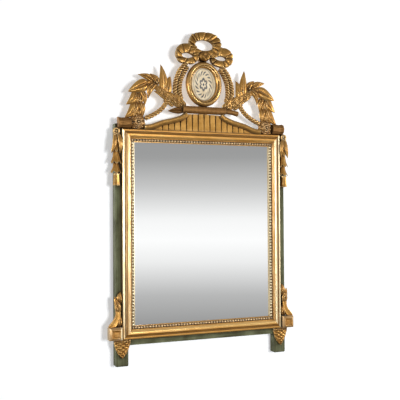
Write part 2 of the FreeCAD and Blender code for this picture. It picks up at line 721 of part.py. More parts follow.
def knot():
    """The swelling knot, split by a fold up its lower half."""
    depth = FRONT_Y - KNOT_PROUD - CREST_BACK_Y
    levels = [(CREST_BACK_Y + depth * rise, share) for rise, share in KNOT_LEVEL_SHARES]
    body = domed((0, KNOT_Z), KNOT_HALF_WIDTH, KNOT_HALF_HEIGHT, levels, KNOT_SIDES)
    foot = KNOT_Z - KNOT_HALF_HEIGHT
    front = FRONT_Y - KNOT_PROUD
    fold = [(-FOLD_WIDTH / 2, foot), (FOLD_WIDTH / 2, foot), (0, KNOT_Z)]
    return body.cut(prism(fold, front - CUT_OVERRUN, front + PLEAT_DEPTH))


def make_bow(medallion):
    """Knot first, then the loops, each cut to what it tucks behind."""
    centre = save("bow_knot", seated(knot(), [medallion]))
    top = save("bow_loop_top", seated(pleated_loop(TOP_LOOP), [centre, medallion]))
    left = save("bow_loop_left", seated(pleated_loop(LEFT_LOOP), [centre, top, medallion]))
    right = save("bow_loop_right", seated(pleated_loop(RIGHT_LOOP), [centre, top, medallion]))
    return [centre, top, left, mirrored(right)]


# Corner logs and the flower heads beside them
LOG_RADIUS = 19.5
LOG_FLARE = 1.6
LOG_PROUD = 7.0
LOG_SIDES = 14
# place along the log and how much of the flare is left there
LOG_RING_SHARES = ((0.0, 1.0), (0.05, 0.0), (0.3, 1.0), (1.0, 1.0))
FLOWER_PROUD = 25.0
FLOWER_SIDES = 12
FLOWER_LEVEL_SHARES = ((0.0, 1.0), (0.5, 0.97), (0.82, 0.74), (1.0, 0.36))
FLOWER_GROOVE = 3.0
FLOWER_GROOVES = 3
FLOWER_PITCH_SHARE = 0.62
FLOWER_SLANT = 45.0  # degrees
LOG_Z = CREST_FOOT + LOG_RADIUS


def log():
    """A short log along X, flared at its cut end and flat at the back and foot."""
    axis_y = FRONT_Y - LOG_PROUD / 2
    turns = [2 * math.pi * (k + 0.5) / LOG_SIDES for k in range(LOG_SIDES)]
    rings = []
    for run, flare in LOG_RING_SHARES:
        x = run * LOG_LENGTH - LOG_END_X
        radius = LOG_RADIUS - LOG_FLARE * flare
        rings.append([Vec(x, axis_y + radius * math.cos(a), LOG_Z + radius * math.sin(a)) for a in turns])
    front = axis_y - LOG_RADIUS
    keep = box((-LOG_END_X, LOG_LENGTH - LOG_END_X), (front, CREST_BACK_Y), (CREST_FOOT, LOG_Z + LOG_RADIUS))
    return faceted(rings).common(keep)


def flower():
    """A round head of buds, cut by two sets of slanting grooves."""
    centre = Vec(-FLOWER_X, 0, CREST_FOOT + FLOWER_HALF_HEIGHT)
    front = FRONT_Y - FLOWER_PROUD
    levels = [(CREST_BACK_Y + (front - CREST_BACK_Y) * rise, share) for rise, share in FLOWER_LEVEL_SHARES]
    head = domed((centre.x, centre.z), FLOWER_HALF_WIDTH, FLOWER_HALF_HEIGHT, levels, FLOWER_SIDES)
    half = FLOWER_GROOVE / 2
    cuts = []
    for slant in (-1, 1):
        for k in range(FLOWER_GROOVES):
            x = FLOWER_PITCH_SHARE * FLOWER_HALF_WIDTH * (k - (FLOWER_GROOVES - 1) / 2)
            mouth = front - CUT_OVERRUN
            blade = [(x - half, mouth), (x + half, mouth), (x, front + FLOWER_PROUD / 3)]
            points = [Vec(px, y, -2 * FLOWER_HALF_HEIGHT) for px, y in blade]
            face = Part.Face(Part.makePolygon(points + points[:1]))
            groove = face.extrude(Vec(0, 0, 4 * FLOWER_HALF_HEIGHT))
            groove.rotate(Vec(0, 0, 0), Vec(0, 1, 0), slant * FLOWER_SLANT)
            groove.translate(Vec(centre.x, 0, centre.z))
            cuts.append(groove)
    return head.cut(Part.makeCompound(cuts))


# Laurel branches, as shares of the branch's width and height from the ledge's end
BRANCH_HEIGHT = 157.0
BRANCH_LAP = 14.0  # of the stem's start over the ledge's end
BRANCH_START_X = LEDGE_HALF - BRANCH_LAP
BRANCH_INSET = 31.0  # from the outermost leaf tip to the stile's outer face
BRANCH_WIDTH = CARCASS_X - BRANCH_START_X - BRANCH_INSET
BRANCH_RISE = 75.0  # of the branch's start above the moulding
STEM_RADIUS = 8.0
STEM_SIDES = 6
STEM_STEPS = 10
LEAF_LIFT = 6.0
BRANCH_STEM_SHARES = (
    (0.05, 0.07),
    (0.19, 0.2),
    (0.34, 0.34),
    (0.5, 0.46),
    (0.64, 0.47),
    (0.765, 0.36),
    (0.81, 0.14),
    (0.83, -0.1),
    (0.81, -0.25),
)
# base, tip, width and lift of each leaf, the lift as a share of LEAF_LIFT
BRANCH_LEAF_SHARES = (
    (0.056, 0.04, 0.187, 0.44, 0.13, 0.6),
    (0.106, 0.04, 0.303, 0.366, 0.14, 0.9),
    (0.07, 0.035, 0.386, 0.168, 0.12, 0.3),
    (0.038, 0.066, 0.112, 0.36, 0.11, 0.4),
    (0.303, 0.281, 0.261, 0.68, 0.13, 0.1),
    (0.401, 0.36, 0.415, 0.932, 0.175, 0.4),
    (0.304, 0.153, 0.515, 0.412, 0.14, 0.8),
    (0.29, 0.18, 0.466, 0.501, 0.14, 1.0),
    (0.45, 0.48, 0.587, 0.713, 0.155, 0.3),
    (0.531, 0.5, 0.779, 0.673, 0.165, 0.1),
    (0.644, 0.53, 0.946, 0.312, 0.24, 0.5),
    (0.612, 0.488, 0.804, 0.282, 0.19, 1.0),
    (0.79, 0.34, 0.971, 0.029, 0.22, 0.4),
    (0.725, 0.394, 0.805, 0.051, 0.175, 1.0),
    (0.83, 0.09, 0.987, -0.202, 0.2, 0.3),
    (0.789, 0.094, 0.854, -0.224, 0.175, 1.0),
    (0.54, 0.45, 0.637, 0.19, 0.13, 0.5),
    (0.73, 0.353, 0.67, 0.019, 0.15, 0.3),
    (0.79, 0.1, 0.719, -0.184, 0.15, 0.3),
    (0.47, 0.45, 0.676, 0.356, 0.175, 0.9),
)


def on_branch(x_share, z_share):
    """A place on the left branch."""
    return (-BRANCH_START_X - x_share * BRANCH_WIDTH, CREST_FOOT + BRANCH_RISE + z_share * BRANCH_HEIGHT)


def laurel_branch():
    """The left branch: a stem that arches from the ledge to the log, and its leaves."""
    path = curve_points([on_branch(*shares) for shares in BRANCH_STEM_SHARES], STEM_STEPS)
    pieces = [bar(path, STEM_RADIUS, CREST_BACK_Y, STEM_SIDES)]
    base_y = CREST_BACK_Y - STEM_RADIUS / 2
    for base_x, base_z, tip_x, tip_z, width, lift in BRANCH_LEAF_SHARES:
        base, tip = on_branch(base_x, base_z), on_branch(tip_x, tip_z)
        pieces.append(leaf(base, tip, width * BRANCH_HEIGHT, base_y - lift * LEAF_LIFT))
    whole = fused(pieces).Solids[0]
    return Part.makeSolid(whole.OuterShell)


# Twisted ropes beside the medallion and cords under the branches
ROPE_RADIUS = 6.8
CORD_RADIUS = 8.0
ROPE_SIDES = 5
ROPE_STEP_SHARE = 1.4  # between two sections, of the rope's radius
ROPE_TWIST = math.radians(44)
ROPE_SPREAD = 43.5  # of the ropes beyond the medallion
ROPE_SPAN_X = MEDALLION_HALF_WIDTH + ROPE_SPREAD
ROPE_SPAN_Z = KNOT_Z - KNOT_HALF_HEIGHT - LEDGE_TOP
OUTER_ROPE_SHARES = ((0.57, 0.97), (0.69, 0.88), (0.8, 0.76), (0.885, 0.6), (0.945, 0.43), (0.95, 0.22))
INNER_ROPE_SHARES = (
    (0.545, 0.85),
    (0.66, 0.7),
    (0.745, 0.56),
    (0.785, 0.42),
    (0.78, 0.26),
    (0.755, 0.19),
)
CORD_SHARES = ((0.69, -0.25), (0.585, -0.185), (0.48, -0.1), (0.395, 0.0), (0.34, 0.11), (0.27, 0.2))


def rope(path, radius, back_y):
    """A twisted rope along (x, z) points, in front of back_y."""
    length = sum(math.dist(a, b) for a, b in zip(path, path[1:]))
    count = round(length / (ROPE_STEP_SHARE * radius))
    return bar(curve_points(path, count), radius, back_y, ROPE_SIDES, ROPE_TWIST)


def on_rope(x_share, z_share):
    """A place beside the medallion on the left."""
    return (-x_share * ROPE_SPAN_X, LEDGE_TOP + z_share * ROPE_SPAN_Z)


def make_crest(carcass):
    """Everything carved above the top rail, the carriers first."""
    make_pediment(carcass)
    ledge, panel, sweep = saved["ledge"], saved["pediment_panel"], saved["swept_moulding_left"]
    medallion = make_medallion([ledge])
    bow = make_bow(medallion)
    head = seated(flower(), [sweep, panel] + carcass)
    end_log = seated(log(), [head, sweep] + carcass)
    save_pair("corner_flower", head)
    save_pair("corner_log", end_log)
    branch = seated(laurel_branch(), [ledge, sweep, head, end_log, medallion, panel] + carcass)
    save_pair("laurel_branch", branch)
    carriers = bow + [medallion, branch, ledge]
    inner = rope([on_rope(*shares) for shares in INNER_ROPE_SHARES], ROPE_RADIUS, CREST_BACK_Y)
    inner = seated(inner, carriers)
    outer = rope([on_rope(*shares) for shares in OUTER_ROPE_SHARES], ROPE_RADIUS, CREST_BACK_Y)
    save_pair("medallion_rope_inner", inner)
    save_pair("medallion_rope_outer", seated(outer, carriers + [inner]))
    cord = rope([on_branch(*shares) for shares in CORD_SHARES], CORD_RADIUS, CREST_BACK_Y)
    save_pair("branch_cord", seated(cord, [branch, head, sweep]))


# Cut ends that stick out at each end of the ledge
STALK_RADIUS = 9.0
STALK_SIDES = 8
STALK_LENGTH = 50.0
STALK_DROP = 8.0
LEDGE_LEAF_WIDTH = 17.0
LEDGE_LEAF_DROP = 3.0
LEDGE_LEAF_LENGTH = 52.0


def make_ledge_ends():
    """A leaf at the left end of the ledge and a cut stalk at the right end."""
    z = LEDGE_FOOT + LEDGE_HEIGHT / 2
    base = (LEDGE_FILLET - LEDGE_HALF, z - LEDGE_LEAF_DROP)
    tip = (-LEDGE_HALF - LEDGE_LEAF_LENGTH, z - STALK_DROP)
    carriers = [saved["ledge"], saved["laurel_branch_left"], saved["swept_moulding_left"]]
    save("ledge_leaf_left", seated(leaf(base, tip, LEDGE_LEAF_WIDTH, CREST_BACK_Y), carriers))
    path = [
        (LEDGE_HALF - LEDGE_FILLET, z),
        (LEDGE_HALF + STALK_LENGTH / 2, z - STALK_DROP / 3),
        (LEDGE_HALF + STALK_LENGTH, z - STALK_DROP),
    ]
    carriers = [saved["ledge"], saved["laurel_branch_right"], saved["swept_moulding_right"]]
    save("ledge_stalk_right", seated(bar(path, STALK_RADIUS, CREST_BACK_Y, STALK_SIDES), carriers))


# Husk drops on the upper stiles
DROP_LENGTH = 190.0
DROP_HALF_WIDTH = 19.0
DROP_INSET = 2.5  # drop's centre line in from the stile's outer face
DROP_RING_RADIUS = 11.5
DROP_RING_HOLE = 4.5
DROP_RING_SIDES = 10
DROP_PROUD = 12.0
DROP_LIFT = 4.0  # ring's top above the moulding's top
STUB_RADIUS = 13.5
STUB_SIDES = 10
STUB_TOP_SHARE = 0.73
# base across, base down, tip across, tip down and width, of the drop's half width and length
HUSK_SHARES = (
    (-0.15, 0.11, -1.0, 0.43, 0.95),
    (0.15, 0.11, 0.85, 0.4, 0.95),
    (0.0, 0.08, -0.1, 0.42, 1.0),
    (-0.2, 0.38, -1.15, 0.63, 0.95),
    (0.2, 0.38, 0.9, 0.61, 0.95),
    (0.0, 0.36, 0.0, 0.62, 1.0),
    (-0.2, 0.57, -1.15, 0.785, 0.9),
    (0.2, 0.57, 0.92, 0.77, 0.9),
    (0.0, 0.56, 0.0, 0.78, 0.95),
)


def husk_drop(carriers):
    """A ring, three tiers of husks and a cut stub, carved as one drop for the left stile."""
    back = FRONT_Y
    x = DROP_INSET - CARCASS_X
    top = CREST_FOOT + DROP_LIFT
    hole = DROP_RING_HOLE / DROP_RING_RADIUS
    levels = (
        (back, 1),
        (back - DROP_PROUD / 2, 1),
        (back - DROP_PROUD, (1 + hole) / 2),
        (back - DROP_PROUD / 2, hole),
    )
    centre = (x, top - DROP_RING_RADIUS)
    pieces = [domed(centre, DROP_RING_RADIUS, DROP_RING_RADIUS, levels, DROP_RING_SIDES)]
    for base_x, base_z, tip_x, tip_z, width in HUSK_SHARES:
        base = (x + base_x * DROP_HALF_WIDTH, top - base_z * DROP_LENGTH)
        tip = (x + tip_x * DROP_HALF_WIDTH, top - tip_z * DROP_LENGTH)
        pieces.append(leaf(base, tip, width * DROP_HALF_WIDTH, back))
    stub_path = [(x, top - STUB_TOP_SHARE * DROP_LENGTH), (x, top - DROP_LENGTH)]
    stub = bar(stub_path, STUB_RADIUS, back + STUB_RADIUS / 2, STUB_SIDES)
    front_half = box((-2 * CARCASS_X, 0), (back, back - 2 * STUB_RADIUS), (FOOT_Z, CARCASS_TOP))
    pieces.append(stub.common(front_half))
    return seated(fused(pieces), carriers)


# Blocks at the lower corners, the consoles on them and the leaves on the legs
BLOCK_WIDTH = 43.0
BLOCK_HEIGHT = 41.0
BLOCK_PROUD = 25.0
BLOCK_LAP = 9.0  # how far the block reaches back along the stile
BLOCK_GAP = 3.5  # between the block and the moulding
BLOCK_BORDER = 6.5
BLOCK_SUNK = 3.0
BLOCK_CHAMFER = 2.0
BLOCK_FOOT = CENTRE_Z - GILT_Z
BLOCK_TOP = BLOCK_FOOT + BLOCK_HEIGHT
CONSOLE_WIDTH = 12.0
CONSOLE_HEIGHT = 115.0
CONSOLE_PROUD = 15.0
CONSOLE_SIDES = 8
CONSOLE_STEPS = 8
CONSOLE_SHARES = ((0.78, 0.02), (0.62, 0.17), (0.24, 0.31), (0.14, 0.44), (0.22, 0.6))
CONSOLE_LEAF_SHARES = (
    (0.2, 0.4, 0.63, 0.83, 0.5),
    (0.16, 0.46, -0.02, 0.99, 0.42),
    (0.2, 0.36, 0.3, 0.78, 0.42),
)
PENDANT_WIDTH = 57.0
PENDANT_LENGTH = 58.0
PENDANT_STATION_SHARES = ((0.0, 0.97), (0.2, 1.0), (0.45, 0.8), (0.75, 0.38), (1.0, 0.0))
PENDANT_GROOVE = 3.0
PENDANT_GROOVE_SHARES = (0.18, 0.45)


def corner_block(carcass):
    """A square block with a sunk panel that laps round the stile's corner."""
    outer = -GILT_X - BLOCK_GAP - BLOCK_WIDTH
    inner = -GILT_X - BLOCK_GAP
    front = FRONT_Y - BLOCK_PROUD
    body = box((outer, inner), (front, FRONT_Y + BLOCK_LAP), (BLOCK_FOOT, BLOCK_TOP))
    body = body.makeChamfer(BLOCK_CHAMFER, [e for e in body.Edges if e.BoundBox.YMax < front + BLOCK_CHAMFER])
    levels = []
    for inset, y in ((BLOCK_BORDER, front), (BLOCK_BORDER + BLOCK_SUNK, front + BLOCK_SUNK)):
        low, high = BLOCK_FOOT + inset, BLOCK_TOP - inset
        across = (outer + inset, inner - inset)
        corners = [(across[0], low), (across[1], low), (across[1], high), (across[0], high)]
        levels.append([Vec(x, y, z) for x, z in corners])
    return seated(body.cut(faceted(levels)), carcass)


def on_console(x_share, z_share):
    """A place above the left block, measured out from the moulding and up from the block."""
    return (-GILT_X - BLOCK_GAP - x_share * BLOCK_WIDTH, BLOCK_TOP + z_share * CONSOLE_HEIGHT)


def console(carriers):
    """An S-shaped strap that rises from the block and ends in leaves."""
    path = curve_points([on_console(*shares) for shares in CONSOLE_SHARES], CONSOLE_STEPS)
    depth = CONSOLE_PROUD / CONSOLE_WIDTH
    pieces = [bar(path, CONSOLE_WIDTH / 2, FRONT_Y, CONSOLE_SIDES, depth=depth)]
    for base_x, base_z, tip_x, tip_z, width in CONSOLE_LEAF_SHARES:
        base, tip = on_console(base_x, base_z), on_console(tip_x, tip_z)
        pieces.append(leaf(base, tip, width * BLOCK_WIDTH, FRONT_Y))
    return seated(fused(pieces), carriers)


def pendant_leaf(carriers):
    """A broad leaf that hangs on the leg below the bottom rail's moulding."""
    x = -GILT_X
    base, tip = (x, BLOCK_FOOT - RUNNING_GAP), (x, BLOCK_FOOT - PENDANT_LENGTH)
    body = leaf(base, tip, PENDANT_WIDTH, FRONT_Y, PENDANT_STATION_SHARES)
    grooves = []
    front = FRONT_Y - 2 * LEAF_RIDGE
    for slant in (-1, 1):
        for share in PENDANT_GROOVE_SHARES:
            outer_x, outer_z = x + slant * PENDANT_WIDTH / 2, BLOCK_FOOT - PENDANT_LENGTH * share
            inner_x, inner_z = x + slant * PENDANT_GROOVE, outer_z - PENDANT_LENGTH / 4
            outline = [
                (inner_x, inner_z),
                (outer_x, outer_z),
                (outer_x, outer_z - PENDANT_GROOVE),
                (inner_x, inner_z - PENDANT_GROOVE),
            ]
            grooves.append(prism(outline, front, FRONT_Y - LEAF_RIDGE / 3))
    return seated(body.cut(Part.makeCompound(grooves)), carriers)


def make_side_carving(carcass):
    """Drops, blocks, consoles and leg leaves for both sides."""
    moulding = [saved["moulding_left"], saved["moulding_bottom"], saved["moulding_top"]]
    heads = [saved["corner_log_left"], saved["corner_flower_left"]]
    save_pair("husk_drop", husk_drop(moulding + heads))
    block = corner_block(carcass)
    save_pair("corner_block", block)
    save_pair("console", console(moulding + [block]))
    save_pair("pendant_leaf", pendant_leaf(moulding + [block]))


# What holds the crest on: dowels into the top rail and a batten up its back
DOWEL_RADIUS = 3.0
DOWEL_SIDES = 8
DOWEL_LENGTH = 18.0
DOWEL_PANEL_DEPTH = 5.0  # of the dowel in the panel
DOWEL_SPREAD_SHARE = 0.7
BATTEN_HALF_WIDTH = 14.0
BATTEN_THICK = 10.0
BATTEN_TENON = 8.0  # foot of the batten that is let into the top rail
BATTEN_SCREWS = 4
BATTEN_SCREW_INSET = 22.0


def dowel(x):
    """A dowel from the back of the pediment panel into the face of the top rail."""
    front = FRONT_Y - DOWEL_PANEL_DEPTH
    levels = ((front + DOWEL_LENGTH, 1), (front, 1))
    return domed((x, (CREST_FOOT + CARCASS_TOP) / 2), DOWEL_RADIUS, DOWEL_RADIUS, levels, DOWEL_SIDES)


def make_crest_fixings():
    """Dowels between rail and panel, and a screwed batten behind panel, medallion and knot."""
    dowels = [dowel(side * DOWEL_SPREAD_SHARE * SWEPT_REACH / 2) for side in (-1, 1)]
    save("crest_dowels", Part.makeCompound(dowels))
    drilled(("top_rail", "pediment_panel"), dowels)
    top = KNOT_Z + KNOT_HALF_HEIGHT
    surface = CREST_BACK_Y + BATTEN_THICK
    across = (-BATTEN_HALF_WIDTH, BATTEN_HALF_WIDTH)
    batten = box(across, (CREST_BACK_Y, surface), (CARCASS_TOP - BATTEN_TENON, top))
    save("crest_batten", batten)
    drilled(("top_rail",), [batten])
    step = (top - CARCASS_TOP - 2 * BATTEN_SCREW_INSET) / (BATTEN_SCREWS - 1)
    for k in range(BATTEN_SCREWS):
        screw(0, surface, CARCASS_TOP + BATTEN_SCREW_INSET + step * k, BATTEN_SCREW_LENGTH)


def make_screw_holes():
    """Saves every screw as one node and cuts its hole in what it passes through."""
    save("back_screws", Part.makeCompound(back_screws))
    plates = ("keyhole_plate_left", "keyhole_plate_right")
    framing = ("stile_left", "stile_right", "top_rail", "bottom_rail")
    carved = ("crest_batten", "pediment_panel", "medallion_core", "medallion_frame", "bow_knot", "ledge")
    drilled(plates + framing + carved, back_screws)


os.makedirs("parts", exist_ok=True)
make_carcass()
make_moulding()
make_pearls()
make_glass_and_back()
make_back_fittings()
carcass_pieces = [saved[name] for name in ("stile_left", "stile_right", "top_rail", "bottom_rail")]
make_crest(carcass_pieces)
make_ledge_ends()
make_side_carving(carcass_pieces)
make_crest_fixings()
make_screw_holes()
for node in sorted(saved):
    whole = saved[node].BoundBox
    extent = [round(v, 1) for v in (whole.XMin, whole.XMax, whole.YMin, whole.YMax, whole.ZMin, whole.ZMax)]
    print(node, len(saved[node].Solids), "solids", round(saved[node].Volume), "mm3", extent)
print(len(saved), "nodes")
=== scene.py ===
# %% [markdown]
# # A carved giltwood wall mirror
#
# The mirror has a painted wooden carcass, a gilt moulding with pearls round the glass, and an
# openwork crest: a fluted pediment, a ledge with an oval medallion, two laurel branches and a
# ribbon bow. The plain joinery comes from the engineering model, which is loaded first and is
# never moved. Everything that a carver would have cut by hand is modelled here.

# %% Load the engineering model
import math
import random

import bpy
from mathutils import Matrix, Vector


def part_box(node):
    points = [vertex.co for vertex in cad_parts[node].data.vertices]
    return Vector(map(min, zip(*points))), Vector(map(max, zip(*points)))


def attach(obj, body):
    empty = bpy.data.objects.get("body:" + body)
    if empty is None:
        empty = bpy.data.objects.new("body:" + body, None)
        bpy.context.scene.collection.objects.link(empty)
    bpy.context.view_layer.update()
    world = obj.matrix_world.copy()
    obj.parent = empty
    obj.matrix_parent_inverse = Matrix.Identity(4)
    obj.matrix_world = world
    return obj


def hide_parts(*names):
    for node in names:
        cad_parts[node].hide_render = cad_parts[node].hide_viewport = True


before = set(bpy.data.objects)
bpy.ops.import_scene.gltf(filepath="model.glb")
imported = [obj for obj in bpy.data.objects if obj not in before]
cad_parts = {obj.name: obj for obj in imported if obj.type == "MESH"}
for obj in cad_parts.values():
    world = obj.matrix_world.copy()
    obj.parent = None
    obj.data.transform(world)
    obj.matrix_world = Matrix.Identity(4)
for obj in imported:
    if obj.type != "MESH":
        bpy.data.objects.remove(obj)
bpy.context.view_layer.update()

MM = 0.001
BODY = "mirror_frame"

# %% [markdown]
# ## Camera
#
# The photograph was taken a little over two metres away, from the left and about as high as the
# middle of the glass. The camera has the focal length and the turn that bring the corners of the
# glass and the feet to where the photograph shows them.

# %% Camera
CAMERA_PLACE = Vector((-0.931, -2.237, -0.183))
CAMERA_YAW, CAMERA_PITCH, CAMERA_ROLL = (math.radians(angle) for angle in (22.64, 1.04, -0.35))
FOCAL_LENGTH, SENSOR_WIDTH = 63, 36


def camera_axes():
    """The camera's right, up and backward directions."""
    flat = math.cos(CAMERA_PITCH)
    ahead = Vector((math.sin(CAMERA_YAW) * flat, math.cos(CAMERA_YAW) * flat, math.sin(CAMERA_PITCH)))
    level = Vector((math.cos(CAMERA_YAW), -math.sin(CAMERA_YAW), 0))
    above = level.cross(ahead)
    right = level * math.cos(CAMERA_ROLL) + above * math.sin(CAMERA_ROLL)
    up = above * math.cos(CAMERA_ROLL) - level * math.sin(CAMERA_ROLL)
    return right, up, -ahead


camera = bpy.data.objects.new("photo_camera", bpy.data.cameras.new("photo_camera"))
bpy.context.collection.objects.link(camera)
camera.data.lens, camera.data.sensor_width = FOCAL_LENGTH, SENSOR_WIDTH
turn = Matrix(camera_axes()).transposed().to_4x4()
camera.matrix_world = Matrix.Translation(CAMERA_PLACE) @ turn
bpy.context.scene.camera = camera
bpy.context.scene.view_settings.view_transform = "Standard"
print("camera with a", FOCAL_LENGTH, "mm lens at", tuple(CAMERA_PLACE))

# %% [markdown]
# ## Helpers for materials
#
# Every finish is a small network of nodes. One function adds any node, sets its values and links
# its inputs, so that a finish reads from top to bottom like a recipe. Colours are written as the
# hex codes that a designer would use, and one function turns them into light values.


# %% Material helpers
def tint(code):
    """A hex colour as linear red, green, blue and alpha."""
    parts = [int(code[k : k + 2], 16) / 255 for k in (0, 2, 4)]
    return [c / 12.92 if c <= 0.04045 else ((c + 0.055) / 1.055) ** 2.4 for c in parts] + [1.0]


def add(tree, kind, inputs=None, stops=(), **settings):
    """Adds a node with its settings and colour stops; an input takes a value, a socket or a node."""
    made = tree.nodes.new("ShaderNode" + kind)
    for name, value in settings.items():
        setattr(made, name, value)
    for k, (position, code) in enumerate(stops):
        bar = made.color_ramp.elements
        stop = bar[k] if k < 2 else bar.new(position)
        stop.position, stop.color = position, tint(code)
    for name, value in (inputs or {}).items():
        if isinstance(value, bpy.types.Node):
            value = value.outputs[0]
        if isinstance(value, bpy.types.NodeSocket):
            tree.links.new(value, made.inputs[name])
        else:
            made.inputs[name].default_value = value
    return made


def finish(name, recipe, *values, **settings):
    """A material whose recipe adds its nodes to an empty tree and returns the shader."""
    material = bpy.data.materials.new(name)
    material.use_nodes = True
    tree = material.node_tree
    tree.nodes.clear()
    add(tree, "OutputMaterial", {"Surface": recipe(tree, *values, **settings)})
    print("finish:", name)
    return material


# %% [markdown]
# ## Water gilding
#
# Gold leaf is laid on a red-brown clay called bole, burnished, and then toned with a brown wash
# that stays in the hollows while the ridges are rubbed bright. A flat gold colour would look like
# brass. So the colour follows the shape: ambient occlusion finds the hollows between and inside
# the carvings, pointiness finds the ridges, and a slow noise breaks both up, as hand rubbing does.


# %% Gilded wood
# a pattern's scale is cells to a metre: 38 gives the rubbing patches of 26 mm. The specks of dust
# and worn leaf are well under a millimetre, too fine to show, so they are drawn 4 mm wide.
PATCHES, SPECKS = 38.0, 260.0
TONE_STOPS = (0.05, 0.35, 0.7, 1.0)


def gilded(tree, tones, worn, tone=None, grain=(PATCHES,) * 3, rough=(0.55, 0.3), rub=0.6):
    """Burnished gold leaf: its patina in hollows, mottled along a grain, bright where it is rubbed."""
    place = add(tree, "TexCoord").outputs["Object"]
    drawn = add(tree, "Mapping", {"Vector": place, "Scale": grain})
    cloud = add(tree, "TexNoise", {"Vector": drawn, "Scale": 1.0, "Detail": 6.0, "Roughness": 0.65})
    fleck = add(tree, "TexNoise", {"Vector": place, "Scale": SPECKS, "Detail": 3.0})
    hollow = add(tree, "AmbientOcclusion", {"Distance": 0.014}, samples=8).outputs["AO"]
    near = add(tree, "AmbientOcclusion", {"Distance": 0.004}, samples=8).outputs["AO"]
    depth = add(tree, "Math", {0: hollow, 1: near}, operation="MULTIPLY")
    mottled = add(tree, "Math", {0: cloud, 1: 0.8, 2: -0.4}, operation="MULTIPLY_ADD")
    light = add(tree, "Math", {0: depth, 1: 0.75, 2: mottled}, operation="MULTIPLY_ADD")
    if tone:
        light = add(tree, "Math", {0: light, 1: tone(tree, place)}, operation="ADD")
    colour = add(tree, "ValToRGB", {"Fac": light}, zip(TONE_STOPS, tones))
    ridge = add(tree, "NewGeometry").outputs["Pointiness"]
    edge = add(tree, "MapRange", {"Value": ridge, "From Min": 0.52, "From Max": 0.6, "To Max": rub})
    # a colour Mix node keeps its two colours in sockets 6 and 7, and its result in 2
    bright = add(tree, "Mix", {0: edge, 6: colour, 7: tint(worn)}, data_type="RGBA").outputs[2]
    span = {"From Min": 0.1, "From Max": 0.9, "To Min": rough[0], "To Max": rough[1]}
    dull = add(tree, "MapRange", {"Value": light, **span})
    bump = add(tree, "Bump", {"Height": fleck, "Strength": 0.35, "Distance": 0.0006})
    inputs = {"Base Color": bright, "Metallic": 0.75, "Roughness": dull, "Normal": bump}
    return add(tree, "BsdfPrincipled", inputs)


# %% [markdown]
# ## Kinds of gilding
#
# Leaves, flat members, the pine board and the parts that were left brown differ in how far they
# were burnished and rubbed. One recipe with other colours and another roughness gives them all.

# %% Kinds of gilding
# four colours from the patina in a hollow to the leaf that stands free
LEAF_TONES = ("241408", "744A1C", "B0803C", "D8AE68")
FLAT_TONES = ("1D1007", "563717", "8A632C", "B48A48")
BOARD_TONES = ("1E1108", "68441C", "A67A38", "C89C54")
TONED = ("20120A", "523417", "835C2F", "A0763F")
MOULDED = ("301B0A", "805522", "B48444", "F2DDB0")
LEVEL_MOULDED = ("301B0A", "8A5A22", "C89042", "F0C47C")
PEARLED = ("2E190A", "9A6A30", "E6C288", "FFF2CC")
# bark streaks of about 10 by 70 mm along a log
LOG_GRAIN = (14.0, 80.0, 110.0)
gilding = finish("gilded_limewood_leaves", gilded, LEAF_TONES, "F6E2AE")
ring_gilding = finish("gilded_limewood_burnished", gilded, LEAF_TONES, "F6E2AE", rough=(0.4, 0.25))
flat_gilding = finish("gilded_limewood_flats", gilded, FLAT_TONES, "EBD096")
flower_gilding = finish("gilded_limewood_flower", gilded, MOULDED, "FFF0CC")
board_gilding = finish("gilded_pine_board", gilded, BOARD_TONES, "DDB97C", rough=(0.75, 0.5), rub=0.3)
toned_gilding = finish(
    "gilded_limewood_toned_brown", gilded, TONED, "B98E54", grain=LOG_GRAIN, rough=(0.8, 0.5)
)

# %% [markdown]
# ## Toning and painted light across the moulding
#
# Old gilding is not toned evenly, so one fillet is rubbed nearly white and the cove beside it is
# brown. The tables across the members also paint light and shade: the right member and the bottom
# member's ovolo are kept lighter and the top member darker, as if each were lit in its own way.
# Bump or occlusion can't tell these apart, so each member gets a short table of tones across its
# section.

# %% Tones across the moulding
MOULDING_WIDTH = 42.0
# mm out from the glass that shows, and how much lighter or darker the gilding is kept there, set
# from readings of the photograph and the render across each member
# partly toning and partly painted light and shade, one table for each member
LEFT_TONE_AND_PAINTED_LIGHT = (
    (0.0, 0.4), (1.5, 0.35), (1.8, -0.35), (11.2, -0.35), (11.6, 0.0), (15.0, -0.1), (18.0, 0.1), (23.0, 0.1),
    (24.5, -0.1), (28.0, -0.05), (33.5, -0.1), (34.6, 0.15), (38.0, 0.2), (41.6, 0.25), (42.0, 0.4),
)
RIGHT_TONE_AND_PAINTED_LIGHT = (
    (0.0, 0.6), (1.5, 0.5), (1.8, -0.4), (11.2, -0.35), (11.6, 0.5), (14.0, 0.0), (18.5, -0.1), (20.0, 0.4),
    (22.0, 0.4), (23.5, 0.05), (25.0, 0.35), (28.0, 0.35), (34.4, 0.3), (35.2, 0.3), (41.6, 0.5), (42.0, 0.1),
)
TOP_TONE_AND_PAINTED_LIGHT = (
    (0.0, 0.1), (1.5, 0.0), (1.8, -0.3), (11.2, -0.3), (11.6, 0.2), (15.0, 0.1), (19.0, 0.0), (24.5, -0.1),
    (26.0, -0.3), (27.5, -0.2), (29.0, 0.0), (34.4, -0.05), (35.2, -0.15), (38.0, -0.2), (42.0, -0.1),
)
BOTTOM_TONE_AND_PAINTED_LIGHT = (
    (0.0, 0.1), (1.5, 0.0), (1.8, -0.25), (11.2, -0.25), (11.6, 0.35), (14.0, 0.35), (20.0, 0.2),
    (24.5, 0.05), (26.0, -0.1), (28.0, 0.05), (34.4, 0.05), (35.2, 0.0), (42.0, -0.1),
)
print(len(LEFT_TONE_AND_PAINTED_LIGHT + RIGHT_TONE_AND_PAINTED_LIGHT + TOP_TONE_AND_PAINTED_LIGHT + BOTTOM_TONE_AND_PAINTED_LIGHT), "points across four members")

